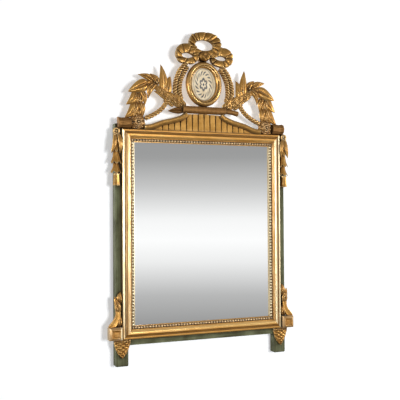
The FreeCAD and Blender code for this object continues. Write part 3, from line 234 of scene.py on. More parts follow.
# %% [markdown]
# ## Tone rules
#
# A tone rule adds to the light value of the gilding's recipe. For the moulding it is a Float Curve
# through the table's points, read at the distance from the glass. Painted masks would need an
# image. For the pearls and the left block one step at a distance from a line is enough.


# %% Tone rules
def apart(tree, value, middle):
    """How far a value lies from a middle one."""
    off = add(tree, "Math", {0: value, 1: middle}, operation="SUBTRACT")
    return add(tree, "Math", {0: off}, operation="ABSOLUTE")


def painted_light_across(tones):
    """A tone rule for one member of the moulding: a curve through its tones."""

    def rule(tree, place):
        low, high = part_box("moulding_left")[0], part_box("moulding_right")[1]
        width = MOULDING_WIDTH * MM
        spots = add(tree, "SeparateXYZ", {"Vector": place})
        sides = []
        upright = ("Z", (low[2] + high[2]) / 2, (high[2] - low[2]) / 2)
        for axis, middle, reach in (("X", 0.0, high[0]), upright):
            away = apart(tree, spots.outputs[axis], middle)
            sides.append(add(tree, "Math", {0: away, 1: reach - width}, operation="SUBTRACT"))
        out = add(tree, "Math", {0: sides[0], 1: sides[1]}, operation="MAXIMUM")
        share = add(tree, "Math", {0: out, 1: 1 / width}, operation="MULTIPLY")
        made = add(tree, "FloatCurve", {"Value": share})
        points = made.mapping.curves[0].points
        for k, (reach, tone) in enumerate(tones):
            spot = (reach / MOULDING_WIDTH, tone / 2 + 0.5)
            if k < 2:
                points[k].location = spot
            else:
                points.new(*spot)
        for point in points:
            point.handle_type = "VECTOR"
        made.mapping.update()
        return add(tree, "Math", {0: made, 1: 2.0, 2: -1.0}, operation="MULTIPLY_ADD")

    return rule


def beside(axis, line, reach, tones):
    """A tone rule that steps from one tone to another over a short reach of distances from a line."""

    def rule(tree, place):
        spots = add(tree, "SeparateXYZ", {"Vector": place})
        span = {"From Min": reach[0], "From Max": reach[1], "To Min": tones[0], "To Max": tones[1]}
        return add(tree, "MapRange", {"Value": apart(tree, spots.outputs[axis], line), **span})

    return rule


# %% [markdown]
# ## Toned finishes
#
# With these rules the recipe gives the finishes of the pearls, the corner blocks and the four
# members of the moulding. The patches become streaks along a member, since it is wiped that way.

# %% Toned finishes
# painted light and shade: the upright rows of pearls, facing the side lamps, are kept lighter,
# and the level ones darker
low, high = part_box("pearl_beading")
half_height = (high[2] - low[2]) / 2
row_edge = (half_height - 10.5 * MM, half_height - 9.5 * MM)
pearl_rows_painted_light = beside("Z", (low[2] + high[2]) / 2, row_edge, (0.45, -0.15))
# painted highlight: the left block is kept bright along its chamfer beside the moulding, where
# light from the right falls
inner_chamfer_painted_highlight = beside("X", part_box("corner_block_left")[1][0], (5.5 * MM, 7 * MM), (1.0, -0.1))
pearl_gilding = finish(
    "gilded_pearls_worn_and_painted_light", gilded, PEARLED, "FFF6DC", pearl_rows_painted_light, rough=(0.65, 0.4), rub=0.3
)
block_gilding = finish(
    "gilded_limewood_block", gilded, MOULDED, "FFF0CC", inner_chamfer_painted_highlight, rough=(0.6, 0.35)
)
# wiping streaks of 14 by 83 mm along each member
UPRIGHT, LEVEL = (70.0, 70.0, 12.0), (12.0, 70.0, 70.0)
# one gilding for each member, a lit and shaded copy with painted light from its table
moulding_gilding_painted_light = {
    "moulding_" + side: finish("gilding_" + side, gilded, base, worn, painted_light_across(tones), grain, rub=rub)
    for side, base, worn, tones, grain, rub in (
        ("left", MOULDED, "F8E6B8", LEFT_TONE_AND_PAINTED_LIGHT, UPRIGHT, 0.15),
        ("right", MOULDED, "F8E6B8", RIGHT_TONE_AND_PAINTED_LIGHT, UPRIGHT, 0.15),
        ("top", LEVEL_MOULDED, "E3BE7E", TOP_TONE_AND_PAINTED_LIGHT, LEVEL, 0.1),
        ("bottom", LEVEL_MOULDED, "E3BE7E", BOTTOM_TONE_AND_PAINTED_LIGHT, LEVEL, 0.1),
    )
}

# %% [markdown]
# ## Olive paint
#
# The carcass is softwood with a thin coat of olive green casein paint. It is matt and its brush
# marks run along the grain, which a noise stretched along one axis gives. Ambient occlusion pulls
# the colour towards brown beside the moulding and under the carvings: that is painted shade.


# %% Painted carcass
def painted(tree, along):
    """Matt paint whose brush marks run along one axis, given as scales of the pattern."""
    place = add(tree, "TexCoord").outputs["Object"]
    brushed = add(tree, "Mapping", {"Vector": place, "Scale": along})
    streak = add(tree, "TexNoise", {"Vector": brushed, "Scale": 1.0, "Detail": 4.0})
    stain = add(tree, "TexNoise", {"Vector": place, "Scale": 18.0, "Detail": 4.0})
    both = add(tree, "Math", {0: streak, 1: 0.6, 2: stain}, operation="MULTIPLY_ADD")
    # painted shade: occlusion darkens the paint beside the moulding and under the carvings
    painted_shade = add(tree, "AmbientOcclusion", {"Distance": 0.02}, samples=8).outputs["AO"]
    kept = add(tree, "Math", {0: both, 1: painted_shade}, operation="MULTIPLY")
    stops = ((0.25, "332415"), (0.52, "3C3A24"), (0.74, "585A40"), (0.95, "727558"))
    colour = add(tree, "ValToRGB", {"Fac": kept}, stops)
    bump = add(tree, "Bump", {"Height": streak, "Strength": 0.3, "Distance": 0.0008})
    inputs = {"Base Color": colour, "Roughness": 0.7, "Specular IOR Level": 0.2, "Normal": bump}
    return add(tree, "BsdfPrincipled", inputs)


# a brush leaves marks 4 to 5 mm apart and about 110 mm long
paint_upright = finish("olive_casein_paint_upright", painted, (220.0, 220.0, 9.0))
paint_level = finish("olive_casein_paint_level", painted, (9.0, 220.0, 220.0))

# %% [markdown]
# ## Glass
#
# The silvered plate is a smooth metal, since silver behind clear glass reflects nearly everything.
# The medallion's glass is thin, so it doesn't bend the view. It is mostly transparent with a sharp
# gloss on top, and Fresnel makes that gloss grow towards grazing views. From inside, Fresnel would
# turn into total reflection, so the share counts on the outer faces only.


# %% Glass
def silvered_plate(tree):
    """Silver behind clear plate glass: a smooth metal a little darker than white."""
    return add(tree, "BsdfPrincipled", {"Base Color": tint("FDFEFE"), "Metallic": 1.0, "Roughness": 0.0})


def clear_glass(tree):
    """Thin picture glass: mostly transparent, with a sharp reflection that Fresnel controls."""
    clear = add(tree, "BsdfTransparent")
    sheen = add(tree, "BsdfGlossy", {"Roughness": 0.02})
    facing = add(tree, "Fresnel", {"IOR": 1.45})
    inside = add(tree, "NewGeometry").outputs["Backfacing"]
    outside = add(tree, "Math", {0: 1.0, 1: inside}, operation="SUBTRACT")
    share = add(tree, "Math", {0: facing, 1: outside}, operation="MULTIPLY")
    return add(tree, "MixShader", {"Fac": share, 1: clear, 2: sheen})


silver = finish("silvered_plate_glass", silvered_plate)
glass = finish("clear_picture_glass", clear_glass)

# %% [markdown]
# ## Bare wood, steel and felt
#
# These are hidden at the back or small, but each gets what its surface shows by hand: the sawn
# pine an uneven straight grain, the steel fittings a patchy tarnish, and the pads a fine fibre.


# %% Bare wood, steel and felt
def bare_softwood(tree):
    """Unpainted pine: straight uneven grain of 3 to 8 mm along Z, with a slow change of tone."""
    place = add(tree, "TexCoord").outputs["Object"]
    stretched = add(tree, "Mapping", {"Vector": place, "Scale": (130.0, 130.0, 2.5)})
    grain = add(tree, "TexNoise", {"Vector": stretched, "Scale": 1.0, "Detail": 3.0})
    cloud = add(tree, "TexNoise", {"Vector": place, "Scale": 9.0, "Detail": 2.0})
    tone = add(tree, "Math", {0: cloud, 1: 0.5, 2: grain}, operation="MULTIPLY_ADD")
    colour = add(tree, "ValToRGB", {"Fac": tone}, ((0.55, "7E5E3B"), (0.75, "A07C50"), (0.95, "B8946A")))
    bump = add(tree, "Bump", {"Height": grain, "Strength": 0.2, "Distance": 0.0004})
    return add(tree, "BsdfPrincipled", {"Base Color": colour, "Roughness": 0.7, "Normal": bump})


def dull_steel(tree):
    """Rolled steel with a light tarnish in patches of 7 mm: a metal with an uneven roughness."""
    place = add(tree, "TexCoord").outputs["Object"]
    cloud = add(tree, "TexNoise", {"Vector": place, "Scale": 140.0, "Detail": 4.0})
    colour = add(tree, "ValToRGB", {"Fac": cloud}, ((0.3, "6E675D"), (0.7, "A6A199")))
    rough = add(tree, "MapRange", {"Value": cloud, "To Min": 0.3, "To Max": 0.55})
    return add(tree, "BsdfPrincipled", {"Base Color": colour, "Metallic": 1.0, "Roughness": rough})


def brown_felt(tree):
    """Pressed wool felt: no gloss, and fibres that are drawn 1 mm wide, since real ones wouldn't show."""
    place = add(tree, "TexCoord").outputs["Object"]
    fibre = add(tree, "TexNoise", {"Vector": place, "Scale": 900.0, "Detail": 2.0})
    colour = add(tree, "ValToRGB", {"Fac": fibre}, ((0.35, "2E261D"), (0.65, "4C4032")))
    bump = add(tree, "Bump", {"Height": fibre, "Strength": 0.5, "Distance": 0.0005})
    inputs = {"Base Color": colour, "Roughness": 0.95, "Sheen Weight": 0.3, "Normal": bump}
    return add(tree, "BsdfPrincipled", inputs)


pine = finish("bare_pine", bare_softwood)
steel = finish("rolled_steel", dull_steel)
felt = finish("pressed_wool_felt", brown_felt)

# %% [markdown]
# ## Engraving
#
# The medallion holds a small print on laid paper: a rosette in a wreath of slanting strokes, inside
# a thin ring. An image would do, but then the file would need one. So the lines are worked out from
# distances and angles round the middle of the oval, and the recipe is a table and a loop.

# %% Engraving
PRINT_MIDDLE = 0.2546
PRINT_HALF = (0.040, 0.060)
# a name, what is worked out, and the names or numbers that it is worked out from; a BAND is 1 near
# a middle value and fades to 0 at half its width from there
PRINT_SUMS = (
    ("across", "MULTIPLY", "X", 1 / PRINT_HALF[0]),
    ("up", "MULTIPLY_ADD", "Z", 1 / PRINT_HALF[1], -PRINT_MIDDLE / PRINT_HALF[1]),
    ("across_squared", "MULTIPLY", "across", "across"),
    ("up_squared", "MULTIPLY", "up", "up"),
    ("radius_squared", "ADD", "across_squared", "up_squared"),
    ("radius", "SQRT", "radius_squared"),
    ("angle", "ARCTAN2", "up", "across"),
    ("angle_by_6", "MULTIPLY", "angle", 6.0),
    ("wave_by_6", "SINE", "angle_by_6"),
    ("scallop", "ABSOLUTE", "wave_by_6"),
    ("dent", "MULTIPLY", "scallop", 0.05),
    ("wreath", "SUBTRACT", "radius", "dent"),
    ("angle_by_3", "MULTIPLY", "angle", 3.0),
    ("wave_by_3", "SINE", "angle_by_3"),
    ("petals", "ABSOLUTE", "wave_by_3"),
    ("petal_dent", "MULTIPLY", "petals", 0.12),
    ("rosette", "SUBTRACT", "radius", "petal_dent"),
    ("slant", "MULTIPLY", "radius", 24.0),
    ("strokes_turn", "MULTIPLY_ADD", "angle", 16.0, "slant"),
    ("strokes_wave", "SINE", "strokes_turn"),
    ("strokes", "GREATER_THAN", "strokes_wave", 0.1),
    ("wreath_band", "BAND", "wreath", 0.62, 0.15),
    ("rosette_band", "BAND", "rosette", 0.2, 0.1),
    ("ring_band", "BAND", "radius", 0.9, 0.03),
    ("eye", "LESS_THAN", "radius", 0.08),
    ("ring", "MULTIPLY", "ring_band", 0.7),
    ("wreath_lines", "MULTIPLY", "wreath_band", "strokes"),
    ("with_rosette", "MAXIMUM", "wreath_lines", "rosette_band"),
    ("with_eye", "MAXIMUM", "with_rosette", "eye"),
    ("lines", "MAXIMUM", "with_eye", "ring"),
    ("coverage", "MULTIPLY_ADD", "worn", 0.9, 0.45),
    ("ink", "MULTIPLY", "lines", "coverage"),
)
print(len(PRINT_SUMS), "sums draw the print")

# %% [markdown]
# ## Paper and ink
#
# The loop adds a Math node for each row of the table, and the last row says how much ink lies
# there. Slow noise gives the paper its foxing, and finer noise wears the lines.


# %% Paper and ink
def engraved(tree):
    """Cream paper with foxing spots of 15 mm, and blue-grey lines that are worn every few mm."""
    place = add(tree, "TexCoord").outputs["Object"]
    spots = add(tree, "SeparateXYZ", {"Vector": place})
    known = {axis: spots.outputs[axis] for axis in "XZ"}
    known["worn"] = add(tree, "TexNoise", {"Vector": place, "Scale": 220.0, "Detail": 4.0})
    for name, kind, *values in PRINT_SUMS:
        values = [known.get(value, value) for value in values]
        if kind == "BAND":
            value, middle, half = values
            span = {"From Min": half, "From Max": half * 0.4}
            known[name] = add(tree, "MapRange", {"Value": apart(tree, value, middle), **span})
        else:
            known[name] = add(tree, "Math", dict(enumerate(values)), operation=kind)
    foxing = add(tree, "TexNoise", {"Vector": place, "Scale": 60.0, "Detail": 3.0})
    paper = add(tree, "ValToRGB", {"Fac": foxing}, ((0.3, "D4C09C"), (0.65, "ECDDBE")))
    colour = add(tree, "Mix", {0: known["ink"], 6: paper, 7: tint("3A4250")}, data_type="RGBA")
    return add(tree, "BsdfPrincipled", {"Base Color": colour.outputs[2], "Roughness": 0.85})


engraving = finish("engraved_paper_print", engraved)

# %% [markdown]
# ## A wall for the mirror to hang on
#
# The mirror hangs on a plain white wall. It shows from its front only: seen from behind it lets the
# view through, so that the back of the mirror can be looked at too. A lift that only the camera
# sees brings the plaster to white, and more light on the gold isn't needed for that.

# %% Wall
WALL_SIZE = 6.0
WALL_PLACE = (0, 0.001, 0)
CAMERA_LIFT = 0.42


def plaster(tree):
    """White plaster that is seen from the front only, and never throws a shadow."""
    side = add(tree, "NewGeometry").outputs["Backfacing"]
    path = add(tree, "LightPath")
    matt = add(tree, "BsdfDiffuse", {"Color": tint("F0F3F6")})
    strength = add(tree, "Math", {0: path.outputs["Is Camera Ray"], 1: CAMERA_LIFT}, operation="MULTIPLY")
    lift = add(tree, "Emission", {"Strength": strength})
    both = add(tree, "AddShader", {0: matt, 1: lift})
    clear = add(tree, "BsdfTransparent")
    hidden = add(tree, "Math", {0: side, 1: path.outputs["Is Shadow Ray"]}, operation="MAXIMUM")
    return add(tree, "MixShader", {"Fac": hidden, 1: both, 2: clear})


QUARTER_TURN = math.radians(90)
bpy.ops.object.select_all(action="DESELECT")
bpy.ops.mesh.primitive_plane_add(size=WALL_SIZE, location=WALL_PLACE, rotation=(QUARTER_TURN, 0, 0))
wall = bpy.context.object
wall.name = "wall"
bpy.ops.object.transform_apply(location=True, rotation=True, scale=True)
wall.data.materials.append(finish("white_wall_plaster", plaster))

# %% [markdown]
# ## Lamps
#
# The soft light comes from the right, so the shadow falls to the left. The photograph's shadow is
# narrow, so the two side lamps are kept off the wall by light linking, as a studio flag does. The
# second key lamp would stand in the mirror's view, so glossy rays don't see it.

# %% Lamps
off_the_wall = bpy.data.collections.new("off_the_wall")
off_the_wall.objects.link(wall)
off_the_wall.collection_objects[0].light_linking.link_state = "EXCLUDE"


def softbox(name, place, aim, size, power, off_wall=False, shown=True):
    """A square area light that faces a point, and may be kept off the wall or out of reflections."""
    lamp = bpy.data.lights.new(name, "AREA")
    lamp.energy = power
    lamp.size = size
    holder = bpy.data.objects.new(name, lamp)
    bpy.context.collection.objects.link(holder)
    holder.location = place
    holder.rotation_euler = (Vector(aim) - Vector(place)).to_track_quat("-Z", "Y").to_euler()
    holder.visible_glossy = shown
    if off_wall:
        holder.light_linking.receiver_collection = off_the_wall
    print(name, power, "W")


softbox("key_in_front", (0.5, -4.0, -0.1), (0, 0, -0.1), 0.8, 44)
softbox("key_beside", (0.65, -4.0, -0.1), (0, 0, -0.1), 0.8, 50, shown=False)
softbox("side_right", (2.6, -1.6, 0.0), (0, 0, -0.1), 0.7, 44, off_wall=True)
softbox("side_left", (-2.4, -1.0, 0.0), (0, 0, -0.1), 0.9, 22, off_wall=True)
softbox("back_left", (-1.8, 2.4, 0.8), (0, 0, -0.2), 1.5, 60)
softbox("back_right", (1.8, 2.4, 0.2), (0, 0, -0.2), 1.5, 40)

# %% [markdown]
# ## The room that the gold and the glass see
#
# A mirror is judged by what it mirrors. The photograph's glass shows a plain room: a bright band at
# the height of a window, and grey above and below it. So the world gives glossy rays such a band,
# white towards the sides, an even dim light for matt surfaces, and white to the camera.

# %% Room
# from straight down to straight up; the greys near the middle were matched to readings of the
# photograph's glass at seven heights
ROOM_BANDS = (
    (0.0, "707070"), (0.3, "808080"), (0.42, "979797"), (0.4425, "BABABA"), (0.465, "EFEFEF"),
    (0.48, "FFFFFF"), (0.495, "F8F8F8"), (0.5175, "C9C9C9"), (0.54, "9D9D9D"), (0.65, "909090"),
    (0.9, "B4B4B4"),
)
EVEN_STRENGTH = 0.2

world = bpy.data.worlds.new("white_room")
bpy.context.scene.world = world
world.use_nodes = True
sky = world.node_tree
sky.nodes.clear()
path = add(sky, "LightPath")
way = add(sky, "SeparateXYZ", {"Vector": add(sky, "TexCoord").outputs["Generated"]})
height = add(sky, "Math", {0: way.outputs["Z"], 1: 0.5, 2: 0.5}, operation="MULTIPLY_ADD")
band = add(sky, "ValToRGB", {"Fac": height}, ROOM_BANDS)
aside = add(sky, "Math", {0: way.outputs["X"]}, operation="ABSOLUTE")
edge = add(sky, "MapRange", {"Value": aside, "From Min": 0.62, "From Max": 0.85})
sides = add(sky, "Mix", {0: edge, 6: band, 7: tint("FFFFFF")}, data_type="RGBA")
seen = add(sky, "Background", {"Color": tint("FFFFFF"), "Strength": 1.0})
mirrored = add(sky, "Background", {"Color": sides.outputs[2], "Strength": 1.0})
even = add(sky, "Background", {"Color": tint("F6F8FF"), "Strength": EVEN_STRENGTH})
glossy = add(sky, "MixShader", {"Fac": path.outputs["Is Glossy Ray"], 1: even, 2: mirrored})
whole = add(sky, "MixShader", {"Fac": path.outputs["Is Camera Ray"], 1: glossy, 2: seen})
add(sky, "OutputWorld", {"Surface": whole})
print(len(sky.nodes), "nodes light the room")

# %% [markdown]
# ## Modelling helpers
#
# A carver starts from a sawn blank and moves its surface with gouges. Here a blank is a grid
# primitive, and a rule says where each of its corners goes. Sculpting by hand would give the same
# forms, but a rule can be read, measured and mirrored. What touches is then merged.


# %% Modelling helpers
MERGE_GAP = 0.05
OUTWARDS = (bpy.ops.mesh.normals_make_consistent, {"inside": False})


def active(piece):
    """Deselects everything and makes one piece the active one."""
    bpy.ops.object.select_all(action="DESELECT")
    piece.select_set(True)
    bpy.context.view_layer.objects.active = piece
    return piece


def edited(piece, *steps):
    """Selects the whole piece in edit mode and runs operators, each with its settings."""
    active(piece)
    bpy.ops.object.mode_set(mode="EDIT")
    bpy.ops.mesh.select_all(action="SELECT")
    for operator, settings in steps:
        operator(**settings)
    bpy.ops.object.mode_set(mode="OBJECT")
    return piece


def blank(name, columns, rows, place):
    """A grid primitive carved by a rule: place(across, along) in mm, across -1 to 1, along 0 to 1."""
    bpy.ops.object.select_all(action="DESELECT")
    bpy.ops.mesh.primitive_grid_add(x_subdivisions=columns, y_subdivisions=rows, size=2)
    piece = bpy.context.object
    piece.name = name
    for corner in piece.data.vertices:
        corner.co = Vector(place(corner.co.x, (corner.co.y + 1) / 2)) * MM
    return piece


def closed(piece):
    """Merges corners that lie together and turns every face outwards."""
    return edited(piece, (bpy.ops.mesh.remove_doubles, {"threshold": MERGE_GAP * MM}), OUTWARDS)


def smooth(piece, degrees):
    """Smooth shading, except over edges sharper than an angle."""
    active(piece)
    bpy.ops.object.shade_smooth_by_angle(angle=math.radians(degrees))
    return piece


# %% [markdown]
# ## Fitting a piece
#
# A finished piece gets its material and the body that it rides on, and the CAD node that it
# stands for is hidden. What comes in pairs is carved once, for the left, and mirrored into a mesh
# of its own. Mirroring turns a mesh inside out, so its faces are flipped back.


# %% Fitting a piece
OVER = (bpy.ops.mesh.flip_normals, {})


def fitted(piece, material, *nodes, slot="gilded_wood"):
    """Gives a finished piece its material and its body, and hides the nodes that it stands for."""
    piece.data.materials.clear()
    piece.data.materials.append(material)
    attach(piece, BODY)
    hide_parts(*nodes)
    print(piece.name, len(piece.data.polygons), "faces")


def fitted_pair(left, stem, material):
    """A left piece and its mirrored twin, which stand for the nodes STEM_left and STEM_right."""
    right = left.copy()
    right.data = left.data.copy()
    bpy.context.collection.objects.link(right)
    right.data.transform(Matrix.Scale(-1, 4, (1, 0, 0)))
    edited(right, OVER)
    for piece, side in ((left, "left"), (right, "right")):
        piece.name = stem + "_carved_" + side
        fitted(piece, material, stem + "_" + side)


# %% [markdown]
# ## Carved leaf
#
# Nearly all of the carving is leaves. Each leaf is domed on both sides of a groove with a thin
# rib in it, has side veins, may be lobed like acanthus, bows forward in its middle and curls at
# its tip. One rule with a few numbers makes all of them, so no two need to be alike. It needs a
# helper for modifiers, and one that turns a sheet to the front before it gets its thickness.

# %% Thickness of a leaf
# the carcass's front, on which the crest and the carvings are planted
FACE = -37.0
# leaves wider than this get the finer grid
BROAD = 17


def modified(piece, kind, **settings):
    """Adds a modifier, sets it and applies it."""
    active(piece)
    made = piece.modifiers.new(kind.lower(), kind)
    for name, value in settings.items():
        setattr(made, name, value)
    bpy.ops.object.modifier_apply(modifier=made.name)
    return piece


def walled(sheet, thickness):
    """Turns an open sheet to face the viewer and gives it a thickness behind its face."""
    if sum(face.normal.y * face.area for face in sheet.data.polygons) > 0:
        edited(sheet, OVER)
    return modified(sheet, "SOLIDIFY", thickness=thickness * MM, offset=-1)


# %% [markdown]
# ## Shape of a leaf
#
# The rule follows a leaf from base to tip: first its outline with teeth, then its height over the
# edges, from dome, veins and rib. It shapes the front as an open sheet. A Solidify modifier gives
# the thickness, because a leaf is carved free at its edges.


# %% Shape of a leaf
def peak(value, middle, width):
    """A smooth bump: 1 at its middle, and nearly gone two widths away."""
    return math.exp(-(((value - middle) / width) ** 2))


def leaf(
    base, tip, width, back_y, arch=4.0, curl=0.0, hook=0.0, teeth=0, veins=5, dome=0.5, thick=3.5, belly=0.8
):
    """A leaf in mm from base to tip, two (x, z) points, whose edges lie at back_y."""
    start, end = Vector(base), Vector(tip)
    along = end - start
    length = along.length
    across = Vector((-along.y, along.x)) / length
    fine = 1.0 if width > BROAD else 0.65

    def place(side, run):
        wing = abs(side)
        arc = math.sin(math.pi * run)
        body = math.sin(math.pi * run**belly) ** 0.8 + 0.3 * (1 - run)
        saw = (teeth * (run + 0.12 * wing) + 0.15) % 1.0
        bite = 0.24 * (1 - saw) * side**4 * min(1.0, 5 * run) if teeth else 0.0
        half = width / 2 * body * (1 - bite) * min(1.0, 14 * (1 - run))
        spot = start + along * run + across * (side * half + hook * length * arc)
        crown = 1 - wing**2.2
        vein = abs(math.sin(math.pi * (veins * (run - 0.25 * wing)))) ** 0.5 - 0.7
        vein *= 0.16 * math.sin(math.pi * min(wing, 1.0)) if veins else 0.0
        rib = 0.3 * peak(side, 0, 0.09) - 0.34 * peak(wing, 0.22, 0.1)
        height = half * dome * (crown + vein + rib * (1 - 0.5 * run))
        rise = arch * arc + curl * run**3
        return spot.x, min(back_y - rise - height, FACE), spot.y

    return walled(closed(blank("leaf", round(20 * fine), round(26 * fine), place)), thick)


# %% [markdown]
# ## Round bars and ropes
#
# Stems, ropes, the stalk and the stubs are round bars along a path: a short list of points, with
# a smooth curve through them. The bar's radius may be a rule of the place on it. With strands that
# wind round its length that rule makes a carved rope.


# %% Round bars and ropes
def through(points, share):
    """A place from 0 to 1 on a smooth curve through (x, z) points, and the direction there."""
    where = min(max(share, 0.0), 1.0) * (len(points) - 1)
    k = min(int(where), len(points) - 2)
    t = where - k
    four = [Vector(points[min(max(k + n, 0), len(points) - 1)]) for n in (-1, 0, 1, 2)]
    bends = ((four[2] - four[0]) / 2, (four[3] - four[1]) / 2)
    spot = (
        four[1] * (2 * t**3 - 3 * t**2 + 1)
        + bends[0] * (t**3 - 2 * t**2 + t)
        + four[2] * (3 * t**2 - 2 * t**3)
        + bends[1] * (t**3 - t**2)
    )
    ahead = (
        (four[1] - four[2]) * (6 * t**2 - 6 * t)
        + bends[0] * (3 * t**2 - 4 * t + 1)
        + bends[1] * (3 * t**2 - 2 * t)
    )
    return spot, ahead.normalized()


def round_bar(name, path, radius, middle_y, rows, columns=14, ends=0.06):
    """A bar with rounded ends along (x, z) points; radius may be a rule of the place along."""

    def place(side, run):
        spot, ahead = through(path, run)
        size = radius(side, run) if callable(radius) else radius
        size *= math.sqrt(max(0.0, 1 - max(0.0, 1 - min(run, 1 - run) / ends) ** 2))
        out = Vector((-ahead.y, ahead.x)) * size * math.cos(math.pi * side)
        return spot.x + out.x, middle_y - size * math.sin(math.pi * side), spot.y + out.y

    return closed(blank(name, columns, rows, place))


def strands(radius, turns, count=3, groove=0.4):
    """A rope's radius: strands that wind round its length, with keen grooves between them."""

    def rule(side, run):
        wave = math.cos(count / 2 * math.pi * side - math.pi * turns * run)
        return radius * (1 - groove + groove * abs(wave) ** 0.7)

    return rule


# %% [markdown]
# ## Laurel branches
#
# Each branch leaves the ledge behind the medallion, arches over and hangs to the log at the
# corner. The seven leaves that make its outline stand within a centimetre of the engineering
# model's. The model has twenty leaves and the carving has more, so that the gaps are filled as on a
# real laurel. Scattering leaves along the stem would be quicker, but then the outline would be
# another one. So each leaf has its place in a table.

# %% Leaves of a branch
BRANCH_BACK, STEM_DEPTH, BERRY_DEPTH = -39.5, -43.0, -52.0
STEM = (
    (-75, 178), (-105, 198), (-137, 220), (-172, 239), (-202, 241), (-229, 223), (-239, 189), (-243, 151),
    (-239, 128),
)
# base x and z, tip x and z, width, lift forward, hook to the side
LARGE_LEAVES = (
    (-68, 176, -100, 214, 15, 9.5, 0.06),
    (-74, 176, -112, 232, 15, 7.0, 0.04),
    (-80, 172, -118, 195, 15, 8.0, -0.05),
    (-84, 180, -126, 222, 15, 5.0, 0.0),
    (-76, 170, -116, 180, 15, 3.5, -0.05),
    (-100, 182, -136, 204, 16, 8.5, -0.04),
    (-98, 192, -134, 230, 16, 6.5, 0.06),
    (-110, 176, -150, 191, 15, 4.0, -0.08),
    (-118, 200, -158, 226, 17, 7.5, 0.0),
    (-124, 188, -164, 210, 15, 4.5, -0.05),
    (-134, 214, -172, 240, 16, 6.0, 0.05),
    (-142, 202, -181, 221, 15, 5.5, -0.05),
    (-153, 221, -187, 236, 16, 7.0, 0.0),
    (-137, 208, -121, 276, 29, 4.5, 0.05),
    (-148, 216, -155, 313, 27, 5.5, -0.04),
    (-163, 244, -194, 279, 19, 3.0, -0.1),
    (-178, 252, -235, 273, 20, 3.0, -0.08),
    (-201, 247, -271, 213, 35, 7.5, 0.0),
    (-238, 219, -276, 171, 28, 4.0, 0.12),
    (-243, 178, -281, 127, 29, 1.5, 0.12),
    (-224, 222, -213, 170, 18, 7.0, 0.1),
    (-228, 184, -221, 128, 20, 3.5, 0.06),
    (-233, 214, -240, 166, 22, 5.0, 0.0),
    (-240, 182, -252, 127, 22, 4.5, 0.0),
    (-172, 238, -216, 247, 24, 1.0, 0.0),
    (-186, 250, -226, 224, 26, 2.0, 0.0),
    (-226, 206, -229, 166, 20, 2.0, 0.0),
    (-233, 166, -236, 128, 22, 1.0, 0.0),
    (-177, 246, -201, 194, 20, 10.5, -0.14),
)
SMALL_LEAVES = (
    (-104, 206, -100, 236, 13, 3.0, 0.0),
    (-146, 230, -140, 256, 13, 3.0, 0.0),
    (-150, 214, -182, 236, 13, 9.0, 0.0),
    (-110, 196, -140, 212, 12, 9.5, 0.0),
)
BERRIES = ((-128, 232), (-144, 238), (-172, 250), (-220, 226), (-230, 186))
print(len(LARGE_LEAVES), "large leaves,", len(SMALL_LEAVES), "small ones and", len(BERRIES), "berries")

# %% [markdown]
# ## Carving a branch
#
# The bow and dome of each leaf come from a fixed seed, so that no two look stamped. A berry is a
# small sphere. All of it is joined to one piece, as the carver cut a branch from one board.

# %% Laurel branches
# widths in mm: below the first a leaf is thin, past the others it is plain and then flatter
SMALL, PLAIN, FLAT = 14, 22, 26


def placed(piece):
    """Moves an object's place, turn and size into its mesh."""
    active(piece)
    bpy.ops.object.transform_apply(location=True, rotation=True, scale=True)
    return piece


def bead(x, y, z, radius, fine=(12, 8), flat=1.0, tilt=0.0):
    """A carved bead, given by its place and radius in mm."""
    bpy.ops.object.select_all(action="DESELECT")
    bpy.ops.mesh.primitive_uv_sphere_add(
        segments=fine[0],
        ring_count=fine[1],
        radius=radius * MM,
        location=(x * MM, y * MM, z * MM),
        rotation=(tilt, 0, 0),
        scale=(1, flat, 1),
    )
    return placed(bpy.context.object)


def joined(pieces, name):
    """Several pieces as one mesh."""
    active(pieces[0])
    for piece in pieces:
        piece.select_set(True)
    bpy.ops.object.join()
    pieces[0].name = name
    return pieces[0]


def laurel_branch():
    """The left branch: its stem, large leaves, small leaves and berries as one carving."""
    hand = random.Random(11)
    parts = [round_bar("stem", STEM, lambda side, run: 6.0 - 2 * run, STEM_DEPTH, 40)]
    for base_x, base_z, tip_x, tip_z, width, lift, hook in LARGE_LEAVES + SMALL_LEAVES:
        blade = leaf(
            (base_x, base_z),
            (tip_x, tip_z),
            width,
            BRANCH_BACK - 0.8 * lift,
            arch=hand.uniform(3, 5),
            curl=hand.uniform(-2, 3),
            hook=hook,
            dome=hand.uniform(0.3, 0.38) if width > FLAT else hand.uniform(0.46, 0.56),
            belly=0.62,
            veins=0 if width > PLAIN else 3,
            thick=2.5 if width < SMALL else 3.5,
        )
        parts.append(blade)
    parts += [bead(x, BERRY_DEPTH, z, 3.6) for x, z in BERRIES]
    return smooth(joined(parts, "laurel_branch"), 50)


fitted_pair(laurel_branch(), "laurel_branch", gilding)

# %% [markdown]
# ## Twisted ropes
#
# Four short ropes flank the medallion and two cords hang under the branches. A round bar follows
# the path of the CAD node to within 4 mm; the inner ropes run on a little further at both ends. The
# bar's radius swells and pinches along a helix, which leaves three strands.
# Three thin bars wound round each other would look the same, with three times the faces.

# %% Ropes and cords
OUTER_ROPE = ((-62, 324), (-74, 312), (-88, 295), (-97, 275), (-103, 255), (-105.5, 233), (-104, 212))
INNER_ROPE = ((-58, 312), (-70, 295), (-80, 276), (-86.5, 257), (-89, 236), (-88, 216), (-81, 196))
CORD = ((-213, 128), (-190, 138), (-168, 151), (-149, 167), (-137, 184), (-122, 198))
for stem, course, radius, middle, turns in (
    ("medallion_rope_outer", OUTER_ROPE, 8.7, -44.6, 14),
    ("medallion_rope_inner", INNER_ROPE, 8.7, -44.6, 14),
    ("branch_cord", CORD, 8.4, -45.0, 11),
):
    rope = round_bar(stem, course, strands(radius, turns), middle, 160, 24)
    fitted_pair(smooth(rope, 60), stem, gilding)

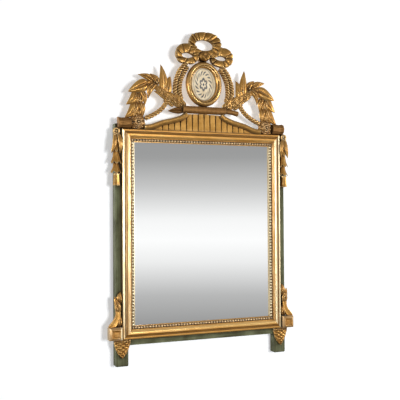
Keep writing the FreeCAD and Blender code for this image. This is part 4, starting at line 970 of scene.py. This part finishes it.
# %% [markdown]
# ## Ribbon bow
#
# The bow is a ribbon gathered into three loops. A gathered ribbon lies in pleats that fan out
# from the hole of its loop, uneven in width, with an outer edge that follows them. A closed
# section is carried round each hole, and the pleats move its crown and its edge, so a loop stays one
# solid that could be carved. The holes of the side loops narrow towards the knot, because the
# ribbon is pulled together there.

# %% Ribbon bow
KNOT_PLACE = (0.0, 349.0)
RIBBON_RISE = 18.5
# share of the way from the hole to the edge, and share of the rise
RIBBON_SECTION = (
    (0.5, 0.0), (0.04, 0.0), (0.0, 0.3), (0.0, 0.8), (0.04, 0.92), (0.14, 0.97), (0.34, 1.0), (0.6, 1.0),
    (0.84, 0.97), (0.95, 0.92), (1.0, 0.78), (1.0, 0.3), (0.96, 0.0), (0.5, 0.0),
)


def pick(points, share):
    """A point of a list by its place from 0 to 1, straight between two of them."""
    where = min(max(share, 0.0), 1.0) * (len(points) - 1)
    k = min(int(where), len(points) - 2)
    return [a + (b - a) * (where - k) for a, b in zip(points[k], points[k + 1])]


def signed_power(value, power):
    """A power that keeps the sign: below 1 it squares a circle's corners."""
    return math.copysign(abs(value) ** power, value)


# %% [markdown]
# ## Loops of the bow
#
# Each loop lies between two ovals, its hole and its edge. Creases at uneven steps round it part
# the pleats, and each pleat leans a little to one side. The steps come from a fixed seed, and the
# three loops differ in size, place and seed only.


# %% Loops of the bow
def ribbon_loop(name, hole, edge, pleats, seed):
    """A pleated loop between two ovals, given as centre x and z from the knot and half sizes."""
    hand = random.Random(seed)
    creases = [0.0]
    for _ in range(pleats):
        creases.append(creases[-1] + hand.uniform(0.55, 1.45))
    creases = [2 * math.pi * c / creases[-1] for c in creases]
    tilts = [hand.choice((-1, 1)) * hand.uniform(2.0, 5.0) for _ in range(pleats)]
    bulges = [hand.uniform(-1.2, 1.6) for _ in range(pleats)]
    beside_knot = -math.copysign(1, hole[0]) if abs(hole[0]) > 10 else 0.0

    def place(side, run):
        angle = 2 * math.pi * run
        share, rise = pick(RIBBON_SECTION, (side + 1) / 2)
        lean = (angle + 0.16 * (share - 0.5)) % (2 * math.pi)
        k = max(n for n in range(pleats) if creases[n] <= lean)
        part = (lean - creases[k]) / (creases[k + 1] - creases[k])
        near = min(part, 1 - part) * (creases[k + 1] - creases[k])
        fold = 1 - peak(near, 0, 0.045)
        swell = math.sin(math.pi * part)
        narrowing = 1 - 0.6 * max(0.0, beside_knot * math.cos(angle)) ** 1.5
        spots = []
        for (x, z, half_x, half_z), grow, power, flat in (
            (hole, 0.0, 1.0, narrowing),
            (edge, bulges[k] * swell + 1.3 * fold - 1.6, 0.82, 1.0),
        ):
            out_x, out_z = (signed_power(v, power) for v in (math.cos(angle), math.sin(angle)))
            spots.append((x + (half_x + grow) * out_x, z + (half_z + grow) * out_z * flat))
        facet = tilts[k] * (part - 0.5) * (0.4 + 0.6 * share)
        crest = rise * (RIBBON_RISE - 2.0 - (1 - fold) * 1.6 + facet + 0.8 * swell)
        x, z = (middle + a + (b - a) * share for middle, a, b in zip(KNOT_PLACE, *spots))
        return x, FACE - crest, z

    return smooth(closed(blank(name, len(RIBBON_SECTION) - 1, 16 * pleats, place)), 40)


for side, hole, edge, pleats, seed in (
    ("top", (0.5, 38, 33.5, 18), (4, 43, 60, 41.5), 15, 3),
    ("left", (-60, -0.5, 21, 9), (-60, 6, 42, 35), 9, 5),
    ("right", (61.5, -2, 21, 8), (65, 2, 43.5, 34.5), 9, 8),
):
    fitted(ribbon_loop("bow_" + side, hole, edge, pleats, seed), flat_gilding, "bow_loop_" + side)

# %% [markdown]
# ## Knot
#
# The ribbon is pulled tight over the middle: a swelling under folds that cross it, with a deep
# cleft. A rule bends a grid to a half dome, and its open back is filled with one face. Real folds
# would need a cloth simulation, and at this size only their ridges and the cleft can be seen.


# %% Knot
def capped(piece):
    """Fills the open ends of a skin and turns its faces outwards."""
    return edited(closed(piece), (bpy.ops.mesh.fill_holes, {"sides": 0}), OUTWARDS)


def knot():
    """The knot: the blank's first row is its rim on the carcass, and its last row is the dome's top."""

    def place(side, run):
        angle = math.pi * side
        share = math.cos(math.pi / 2 * run) ** 0.6
        rise = math.sin(math.pi / 2 * run) ** 0.5
        x, z = 22 * share * math.cos(angle), 17.4 * share * math.sin(angle)
        fold = abs(math.sin(0.22 * (x + 0.6 * z) + 0.7)) ** 0.4
        cleft = 5.5 * peak(x, 3.5, 4.0) * peak(z, 3.0, 9.0)
        depth = FACE - 25.8 * rise + (4.0 * (1 - fold) + cleft) * run
        edge = 1 - 0.06 * (1 - fold) * (1 - run)
        return KNOT_PLACE[0] + x * edge, depth, KNOT_PLACE[1] + z * edge

    return smooth(capped(blank("knot", 64, 24, place)), 60)


fitted(knot(), flat_gilding, "bow_knot")

# %% [markdown]
# ## Medallion
#
# The oval frame is turned on an oval lathe, so one section carried round the oval gives all its
# fillets: a rounded back, a bead, a deep quirk, the crown and a burnished bevel down to the glass.
# Its size is read from the CAD node that it stands for, so the two can't drift apart.

# %% Medallion frame
# in from the outer edge, and forward from the back
MEDALLION_SECTION = (
    (2.0, 0.0), (0.4, 3.0), (0.0, 7.0), (0.5, 11.0), (2.0, 14.5), (4.4, 17.4), (7.4, 19.4), (10.0, 20.0),
    (12.4, 19.2), (13.8, 17.4), (14.2, 15.0), (15.2, 14.4), (16.0, 16.0), (17.2, 15.8), (18.9, 13.6),
    (20.6, 11.6), (21.0, 10.6), (21.0, 7.5), (17.5, 7.5), (17.5, 0.0), (2.0, 0.0),
)


def box_of(node):
    """A CAD node's lowest and highest corner in mm."""
    return [[v / MM for v in corner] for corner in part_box(node)]


def oval_of(node):
    """The middle and half size, across and up, of a CAD node that is an oval, and its front and back."""
    low, high = box_of(node)
    middle, half = ([(high[k] + sign * low[k]) / 2 for k in (0, 2)] for sign in (1, -1))
    return middle, half, low[1], high[1]


def oval_frame():
    """The frame's section carried round the oval that its CAD node fills."""
    middle, half, _, back = oval_of("medallion_frame")

    def place(side, run):
        inset, rise = pick(MEDALLION_SECTION, (side + 1) / 2)
        angle = 2 * math.pi * run
        x, z = (half[0] - inset) * math.cos(angle), middle[1] + (half[1] - inset) * math.sin(angle)
        return x, back - rise, z

    return smooth(closed(blank("medallion_frame_turned", len(MEDALLION_SECTION) - 1, 96, place)), 35)


fitted(oval_frame(), ring_gilding, "medallion_frame")

# %% [markdown]
# ## Print behind the glass
#
# The print is a sheet of laid paper that has cockled a little, so it lies a hair behind its glass
# and not flat against it. A flat disc would do from far away, but would coincide with the glass.

# %% Print
# gap to the glass and round the edge, and thickness of the paper
PRINT_GAP, PAPER = 0.3, 0.25


def print_sheet():
    """An oval sheet with a slight cockle."""
    middle, half, front, _ = oval_of("medallion_print")

    def place(side, run):
        angle, out = math.pi * side, 1 - run
        cockle = 0.08 * math.sin(5 * angle) * out
        x, z = (
            middle[k] + (half[k] - PRINT_GAP) * out * way
            for k, way in enumerate((math.cos(angle), math.sin(angle)))
        )
        return x, front + PRINT_GAP + cockle, z

    return smooth(walled(closed(blank("print_sheet", 64, 10, place)), PAPER), 50)


fitted(print_sheet(), engraving, "medallion_print", slot="print")

# %% [markdown]
# ## Swept mouldings
#
# Two mouldings climb from the logs to the ledge, rounded on top with a fillet under it. A section
# is carried along a smooth path, as a scratch stock is drawn along a curved rail. A bevelled curve
# object would do too, but this way its ends and its height above the board are exact.

# %% Swept mouldings
SWEEP = (
    (-214.0, 108.0), (-190.0, 111.4), (-165.0, 120.6), (-148.0, 126.7), (-116.0, 134.2), (-90.0, 142.7),
    (-74.0, 150.5), (-64.5, 159.0),
)
# across the path and forward from the face
SWEEP_SECTION = (
    (-10.6, 0.0), (-10.6, 10.5), (-10.0, 12.2), (-8.4, 13.6), (-5.0, 15.0), (-1.0, 15.9), (2.6, 16.0),
    (5.2, 15.2), (6.8, 13.0), (7.2, 9.6), (7.2, 0.0), (-10.6, 0.0),
)
SWEEP_TOP = 7.2


def sweep():
    """The left moulding."""

    def place(side, run):
        spot, ahead = through(SWEEP, run)
        across, rise = pick(SWEEP_SECTION, (side + 1) / 2)
        return spot.x - ahead.y * across, FACE - rise, spot.y - SWEEP_TOP + ahead.x * across

    return smooth(capped(blank("sweep", len(SWEEP_SECTION) - 1, 48, place)), 35)


fitted_pair(sweep(), "swept_moulding", flat_gilding)

# %% [markdown]
# ## Pediment board
#
# The board under the sweeps is cut with flutes that widen towards their tops. It starts as a fine
# grid whose corners sink into each flute. The sheet is then extruded and squeezed flat against the
# carcass, which leaves a plain back; a Solidify modifier would repeat the flutes there.

# %% Pediment board
PANEL_FRONT, PANEL_BACK, PANEL_HALF, PANEL_FOOT, PANEL_TOP = -46.0, -37.2, 212.0, 92.0, 152.0
FLUTE_PITCH, FLUTE_DEPTH, FLUTED_HALF = 21.5, 4.5, 165
ROOF = [(x, z - 9.0) for x, z in SWEEP] + [(0.0, PANEL_TOP)]


def roof_at(x):
    """How high the board goes at a place left of the middle."""
    for (x_0, z_0), (x_1, z_1) in zip(ROOF, ROOF[1:]):
        if x <= x_1:
            return z_0 + (z_1 - z_0) * max(0.0, (x - x_0) / (x_1 - x_0))
    return PANEL_TOP


def fluted_board():
    """The board, its flutes narrow at the foot and wide at the top."""

    def place(side, run):
        x = side * PANEL_HALF
        z = PANEL_FOOT + (roof_at(-abs(x)) - PANEL_FOOT) * run
        off = abs((x + FLUTE_PITCH / 2) % FLUTE_PITCH - FLUTE_PITCH / 2)
        half = 1.3 + 1.5 * run**2
        inside = 1 if abs(x) < FLUTED_HALF else 0
        groove = FLUTE_DEPTH * inside * max(0.0, 1 - (off / half) ** 2)
        swell = 0.4 * math.cos(math.pi * off / FLUTE_PITCH) ** 2 * inside
        return x, PANEL_FRONT + groove * min(1.0, 6 * run) + swell, z

    squeeze = {"value": (1, 0, 1), "center_override": (0, PANEL_BACK * MM, 0)}
    board = edited(
        closed(blank("fluted_board", 636, 8, place)),
        (bpy.ops.mesh.extrude_region_move, {}),
        (bpy.ops.transform.resize, squeeze),
        (bpy.ops.mesh.select_all, {"action": "SELECT"}),
        OUTWARDS,
    )
    return smooth(board, 40)


fitted(fluted_board(), board_gilding, "pediment_panel")

# %% [markdown]
# ## Ledge
#
# The ledge that carries the medallion is carved like a trimmed branch: rounded in front, a little
# uneven along, with a leaf at its left end and a cut stalk at its right one. A bevelled box would
# look planed, so its front moves in and out along its length.

# %% Ledge
LEDGE_HALF = 78.0
# forward from the face, and height
LEDGE_SECTION = (
    (0.0, 154.0), (13.5, 154.4), (17.6, 156.6), (20.0, 160.0), (20.9, 164.5), (20.6, 169.0), (19.4, 173.0),
    (17.0, 176.2), (13.0, 177.8), (0.0, 178.0), (0.0, 154.0),
)


def ledge():
    """The bar itself."""

    def place(side, run):
        rise, z = pick(LEDGE_SECTION, (side + 1) / 2)
        uneven = 0.5 * math.sin(23 * run + z) + 0.4 * math.sin(61 * run)
        front = min(1.0, rise / 13.0)
        return LEDGE_HALF * (2 * run - 1), FACE - rise + 0.8 * front * (1 + uneven), z

    return smooth(capped(blank("ledge_carved", len(LEDGE_SECTION) - 1, 60, place)), 40)


fitted(ledge(), toned_gilding, "ledge")
end_leaf = leaf((-70, 163), (-130, 158), 19, -40.0, arch=4, curl=2, dome=0.8)
end_leaf.name = "ledge_leaf_carved"
fitted(smooth(end_leaf, 50), toned_gilding, "ledge_leaf_left")
stalk = round_bar("ledge_stalk_carved", ((70, 166), (102, 163.5), (127.5, 158)), 8.6, -46.0, 24, 20, 0.05)
fitted(smooth(stalk, 60), toned_gilding, "ledge_stalk_right")

# %% [markdown]
# ## Logs
#
# A short log lies at each corner with its cut end outwards. Its bark is a ripple along its length,
# and it has a slight waist, so that it looks grown and not turned.

# %% Logs
LOG_AXIS = (-40.5, 111.5)
LOG_END, LOG_LENGTH, LOG_RADIUS, CUT_FACE = -305.5, 44.0, 18.0, 0.03


def log():
    """The left log: a cut end that flares a little, bark ridges along it and a slight waist."""

    def place(side, run):
        angle = math.pi * side
        bark = 0.5 * math.sin(9 * angle + 2 * run) + 0.35 * math.sin(17 * angle + 5 * run)
        bark += 0.2 * math.sin(31 * angle)
        end = min(1.0, run / 0.1)
        flare = 0.9 * peak(run, 0.1, 0.07) - 1.3 * peak(run, 0.32, 0.12)
        radius = (LOG_RADIUS + flare + bark * end) * math.sqrt(max(0.0, 1 - (1 - end) ** 4))
        depth = min(LOG_AXIS[0] + radius * math.cos(angle), FACE)
        x = LOG_END + LOG_LENGTH * max(0.0, run - CUT_FACE) / (1 - CUT_FACE)
        return x + (0.8 if run < CUT_FACE else 0.0), depth, LOG_AXIS[1] + radius * math.sin(angle)

    return smooth(capped(blank("log", 96, 36, place)), 50)


fitted_pair(log(), "corner_log", toned_gilding)

# %% [markdown]
# ## Flower heads
#
# A round flower head stands beside each log: three rings of toothed petals on a domed core, with
# a bead in the middle. The petals are the carved leaf again, short and broad, each turned and bent
# a little by a fixed seed.

# %% Flower heads
# petals, start and end from the middle, width, back, and turn of the ring
PETAL_RINGS = (
    (9, 8.0, 31.0, 25.0, -39.5, 0.26),
    (6, 5.0, 22.0, 18.0, -46.5, 0.75),
    (5, 1.5, 15.0, 13.0, -51.5, 0.2),
)


def flower():
    """The left flower: three rings of leafy petals round a bead."""
    hand = random.Random(4)
    x, z = (sum(corner[k] for corner in box_of("corner_flower_left")) / 2 for k in (0, 2))
    x += 1.5
    parts = [bead(x, -43, z, 11, (16, 10), 0.7)]
    for count, inner, outer, width, back_y, turn in PETAL_RINGS:
        for k in range(count):
            angle = 2 * math.pi * k / count + turn + hand.uniform(-0.12, 0.12)
            way = Vector([signed_power(v, 0.7) for v in (math.cos(angle), 0.94 * math.sin(angle))])
            reach = outer * hand.uniform(0.86, 1.0)
            petal = leaf(
                Vector((x, z)) + way * inner,
                Vector((x, z)) + way * reach,
                width,
                back_y,
                arch=3.0,
                curl=hand.uniform(-3.0, -1.0),
                hook=hand.uniform(-0.15, 0.15),
                dome=0.45,
                teeth=3,
                veins=2,
                thick=2.5,
                belly=1.15,
            )
            parts.append(petal)
    parts.append(bead(x, -56.0, z, 3.2, (16, 10)))
    return smooth(joined(parts, "flower"), 50)


fitted_pair(flower(), "corner_flower", flower_gilding)

# %% [markdown]
# ## Pearls
#
# A row of half pearls runs round the glass in a channel. One pearl is half of a small sphere, cut
# flat by bisecting it. An Array modifier sets out a whole row, as a carver steps them off with
# dividers so that they meet evenly at the corners.

# %% Pearls
PEARL_RADIUS = 4.5
PEARL_PITCH = 10


def pearl_row(start, step, count):
    """Half pearls from a point on, a step in mm apart."""
    pearl = bead(*start, PEARL_RADIUS, (12, 6), tilt=QUARTER_TURN)
    cut = {"plane_co": (0, start[1] * MM, 0), "plane_no": (0, 1, 0), "clear_outer": True, "use_fill": True}
    return modified(
        edited(pearl, (bpy.ops.mesh.bisect, cut)),
        "ARRAY",
        use_relative_offset=False,
        use_constant_offset=True,
        constant_offset_displace=[v * MM for v in step],
        count=count,
    )


def pearls():
    """Four rows in the channel, upright ones from corner to corner and level ones between them."""
    low, high = box_of("pearl_beading")
    half_x, half_z = high[0] - PEARL_RADIUS, (high[2] - low[2]) / 2
    middle_z = (low[2] + high[2]) / 2
    count = round(2 * half_z / PEARL_PITCH)
    pitch = 2 * half_z / count
    starts = [(side * half_x, high[1], low[2] + pitch / 2) for side in (-1, 1)]
    rows = [pearl_row(start, (0, 0, pitch), count) for start in starts]
    inner = 2 * (half_x - PEARL_RADIUS)
    count = round(inner / PEARL_PITCH)
    pitch = inner / count
    reach = half_z - PEARL_RADIUS
    starts = [(pitch / 2 - inner / 2, high[1], middle_z + side * reach) for side in (-1, 1)]
    rows += [pearl_row(start, (pitch, 0, 0), count) for start in starts]
    return smooth(joined(rows, "pearls_round_the_glass"), 50)


fitted(pearls(), pearl_gilding, "pearl_beading")

# %% [markdown]
# ## Husk drops
#
# A drop of bell husks hangs from a ring at the top of each stile. A bell is half a cup that flares
# into pointed lobes. Half of a cone with its rim cut in zigzag would do, but its ribs have to run
# out into the lobes, so a rule shapes it as an open sheet, which then gets its thickness.

# %% Bell husks
DROP_X, DROP_TOP = -308.5, 96.0
# top and foot below the drop's top, radius there and at the foot, lift forward
BELLS = ((17.0, 80.0, 9.0, 17.0, 1.0), (70.0, 118.0, 9.0, 19.5, 3.0), (107.0, 149.0, 8.0, 20.0, 1.0))
# across the drop, down, radius, lift forward
DROP_BEADS = (
    (0, 12.4, 4.2, 6.0), (-6.5, 24.0, 3.8, 9.0), (6.5, 24.0, 3.8, 9.0),
    (-7, 152, 3.6, 9.0), (0, 151, 4.2, 9.0), (7, 152, 3.6, 9.0),
    (-3.5, 158, 3.8, 9.0), (4, 158, 3.8, 9.0), (0, 164, 3.4, 9.0),
)


def bell(top, foot, throat, mouth, lift):
    """A bell husk cut in half from top to foot: ribbed, and flared into pointed lobes."""

    def place(side, run):
        angle = math.pi / 2 * side
        lobe = abs(math.cos(1.5 * math.pi * side + 0.25))
        reach = run * (foot - top) * (0.8 + 0.2 * lobe)
        radius = throat + (mouth - throat) * run**2.4 * (0.75 + 0.25 * lobe)
        groove = 1 - 0.34 * (1 - lobe**0.6) * min(1.0, 4 * run)
        depth = FACE - lift - 0.72 * radius * math.cos(angle) * groove + 1.5 * (1 - run)
        return DROP_X + radius * math.sin(angle), min(depth, FACE + 0.2), DROP_TOP - top - reach

    return walled(closed(blank("husk", 36, 16, place)), 2.2)


# %% [markdown]
# ## The whole drop
#
# From top to foot: a ring with three beads, three bells one above another, two long side leaves, a
# cluster of beads and a fluted stub. A torus gives the ring and a round bar the stub. It is one
# carving on the real mirror, so the parts are joined.


# %% Husk drops
def drop_ring():
    """The ring that the drop hangs from."""
    bpy.ops.object.select_all(action="DESELECT")
    bpy.ops.mesh.primitive_torus_add(
        major_segments=32,
        minor_segments=10,
        major_radius=8.6 * MM,
        minor_radius=3.6 * MM,
        location=(DROP_X * MM, (FACE - 6.0) * MM, (DROP_TOP - 12.4) * MM),
        rotation=(QUARTER_TURN, 0, 0),
    )
    return placed(bpy.context.object)


def fluted(side, run):
    """The stub's radius: wider towards its foot, with eight shallow flutes."""
    return (9.6 + 3.6 * run**2.2) * (1 - 0.1 * abs(math.sin(4 * math.pi * side)) ** 0.6)


def husk_drop():
    """The left drop as one carving."""
    parts = [drop_ring()]
    parts += [bead(DROP_X + x, FACE - lift, DROP_TOP - down, size) for x, down, size, lift in DROP_BEADS]
    parts += [bell(*numbers) for numbers in BELLS]
    for across, tip, width, lift in ((-4.5, -17.5, 15, 8.0), (6.0, 11.5, 13, 10.0)):
        base, end = (DROP_X + across, DROP_TOP - 19.0), (DROP_X + tip, DROP_TOP - 86.0)
        parts.append(leaf(base, end, width, FACE - lift, arch=5.0, hook=0.05, dome=0.45, teeth=6, veins=7))
    foot = ((DROP_X, DROP_TOP - 152), (DROP_X, DROP_TOP - 190))
    parts.append(round_bar("stub", foot, fluted, FACE - 5.0, 16, 48, 0.05))
    return smooth(joined(parts, "husk_drop"), 50)


fitted_pair(husk_drop(), "husk_drop", gilding)

# %% [markdown]
# ## Corner blocks
#
# Each lower corner has a square block with a sunk field. It is a cube whose front face is inset
# again and again, forwards and back, which is how a joiner would raise and sink a panel. A bevel
# takes the sharpness off its arrises.

# %% Corner blocks
# border inwards and height of each step of the block's face
BLOCK_STEPS = ((6.5, 6.0), (2.2, 0.0), (3.6, -4.0), (5.0, 0.8))


def corner_block():
    """The left block: a cube whose front is drawn in with broad chamfers round a sunk field."""
    low, high = box_of("corner_block_left")
    low[1] += BLOCK_STEPS[0][1]
    middle, size = [(a + b) / 2 * MM for a, b in zip(low, high)], [(b - a) * MM for a, b in zip(low, high)]
    bpy.ops.object.select_all(action="DESELECT")
    bpy.ops.mesh.primitive_cube_add(size=1, location=middle, scale=size)
    block = placed(bpy.context.object)
    edited(block, (bpy.ops.mesh.select_all, {"action": "DESELECT"}))
    min(block.data.polygons, key=lambda face: face.center.y).select = True
    bpy.ops.object.mode_set(mode="EDIT")
    for border, rise in BLOCK_STEPS:
        bpy.ops.mesh.inset(thickness=border * MM, depth=rise * MM)
    bpy.ops.object.mode_set(mode="OBJECT")
    modified(block, "BEVEL", width=0.9 * MM, segments=2, limit_method="ANGLE", angle_limit=math.radians(25))
    return smooth(block, 30)


fitted_pair(corner_block(), "corner_block", block_gilding)

# %% [markdown]
# ## Consoles
#
# An S-shaped strap rises from each block, dished along its middle and thinner towards its head,
# where a cluster of leaves grows out of it. The strap is a rounded square section on a curve. Its
# foot is levelled by a limit in the rule, which leaves cleaner faces than a Boolean cut.

# %% Consoles
STRAP = (
    (-332, -558), (-328, -551), (-320.5, -542), (-312.5, -531), (-307.5, -520), (-306, -508), (-307, -494),
    (-309, -478),
)
# the strap stays inside the block's outer face and above its top
STRAP_EDGE, STRAP_FOOT = -336.4, -550.9
# base, tip, width, lift forward, hook to the side
CONSOLE_LEAVES = (
    ((-301, -500), (-317, -452), 18, 4.0, 0.0),
    ((-300, -478), (-297, -437), 19, 3.0, 0.06),
    ((-303, -510), (-308, -462), 13, 6.5, -0.06),
    ((-308, -505), (-316, -476), 10, 7.0, 0.0),
    ((-306, -552), (-297, -512), 24, 2.0, 0.0),
)


def console():
    """The left strap and the leaves at its head."""

    def place(side, run):
        spot, ahead = through(STRAP, run)
        angle = math.pi * side
        half = 11.0 - 4.0 * run
        across = half * signed_power(math.cos(angle), 0.3)
        rise = (6.5 - 1.5 * run) * signed_power(math.sin(angle), 0.3)
        dish = 1.6 * math.cos(math.pi / 2 * across / half) if rise > 0 else 0.0
        x, z = spot.x - ahead.y * across, spot.y + ahead.x * across
        return max(x, STRAP_EDGE), FACE - 7.5 - rise + dish, max(z, STRAP_FOOT)

    parts = [capped(blank("strap", 32, 40, place))]
    for base, tip, width, lift, hook in CONSOLE_LEAVES:
        parts.append(leaf(base, tip, width, FACE - lift, curl=2.0, hook=hook, teeth=4, dome=0.55))
    return smooth(joined(parts, "console"), 50)


fitted_pair(console(), "console", gilding)

# %% [markdown]
# ## Leg leaves
#
# A broad leaf hangs below each block on the leg: one blade that narrows to a point, covered in
# lozenge scales, under a row of small lobes. Scales set one by one would be dozens of pieces. Two
# slanting waves that cross give the same lozenges on a single blade.

# %% Leg leaves
LEG_X, LEG_TOP, LEG_LEAF_LENGTH = -290.5, -592.3, 61.0
LOBES = (-22, -13, -4.5, 4.5, 13, 22)


def leg_leaf():
    """The left leg's broad leaf: one blade covered in lozenge scales, under a row of small lobes."""

    def place(side, run):
        wing = abs(side)
        slant = 1.5 * side * (1 - 0.45 * run)
        scale = abs(math.sin(math.pi * (4.6 * run + slant))) * abs(math.sin(math.pi * (4.6 * run - slant)))
        half = 29.0 * max(0.0, 1 - run**2.1) ** 0.85 * (1 - 0.06 * (1 - scale) * wing**3)
        rise = 3.0 + 6.0 * (1 - wing**2.4) * (1 - 0.35 * run) + 3.6 * scale**0.5 * (1 - wing**6)
        return LEG_X + side * half, FACE - rise, LEG_TOP - LEG_LEAF_LENGTH * run

    parts = [walled(closed(blank("blade", 56, 64, place)), 3.0)]
    for across in LOBES:
        drop = 0.12 * abs(across)
        base, tip = (LEG_X + across * 0.9, LEG_TOP - 0.5), (LEG_X + across * 1.05, LEG_TOP - 15 + drop)
        lobe = leaf(base, tip, 9.5, FACE - 8.5 + drop, arch=1.5, curl=1.0, dome=0.6, veins=0, thick=3.0)
        parts.append(lobe)
    return smooth(joined(parts, "leg_leaf"), 50)


fitted_pair(leg_leaf(), "pendant_leaf", gilding)

# %% [markdown]
# ## Finishes on the engineering model
#
# The joinery, the mouldings, the glass and the fittings keep their CAD shapes, since a plane, a
# saw or a press made them true. They only get their finishes here, by the start of their names.

# %% Finishes on the engineering model
FINISHES = {
    "stile_": paint_upright,
    "top_rail": paint_level,
    "bottom_rail": paint_level,
    **moulding_gilding_painted_light,
    "mirror_glass": silver,
    "medallion_glass": glass,
    "medallion_core": pine,
    "back_board": pine,
    "glazing_blocks": pine,
    "crest_": pine,
    "tenon_pegs": pine,
    "keyhole_plate": steel,
    "turn_button": steel,
    "back_screws": steel,
    "wall_pads": felt,
}
for name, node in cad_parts.items():
    for start, material in FINISHES.items():
        if name.startswith(start):
            node.data.materials.clear()
            node.data.materials.append(material)
            print(name, material.name)
            break
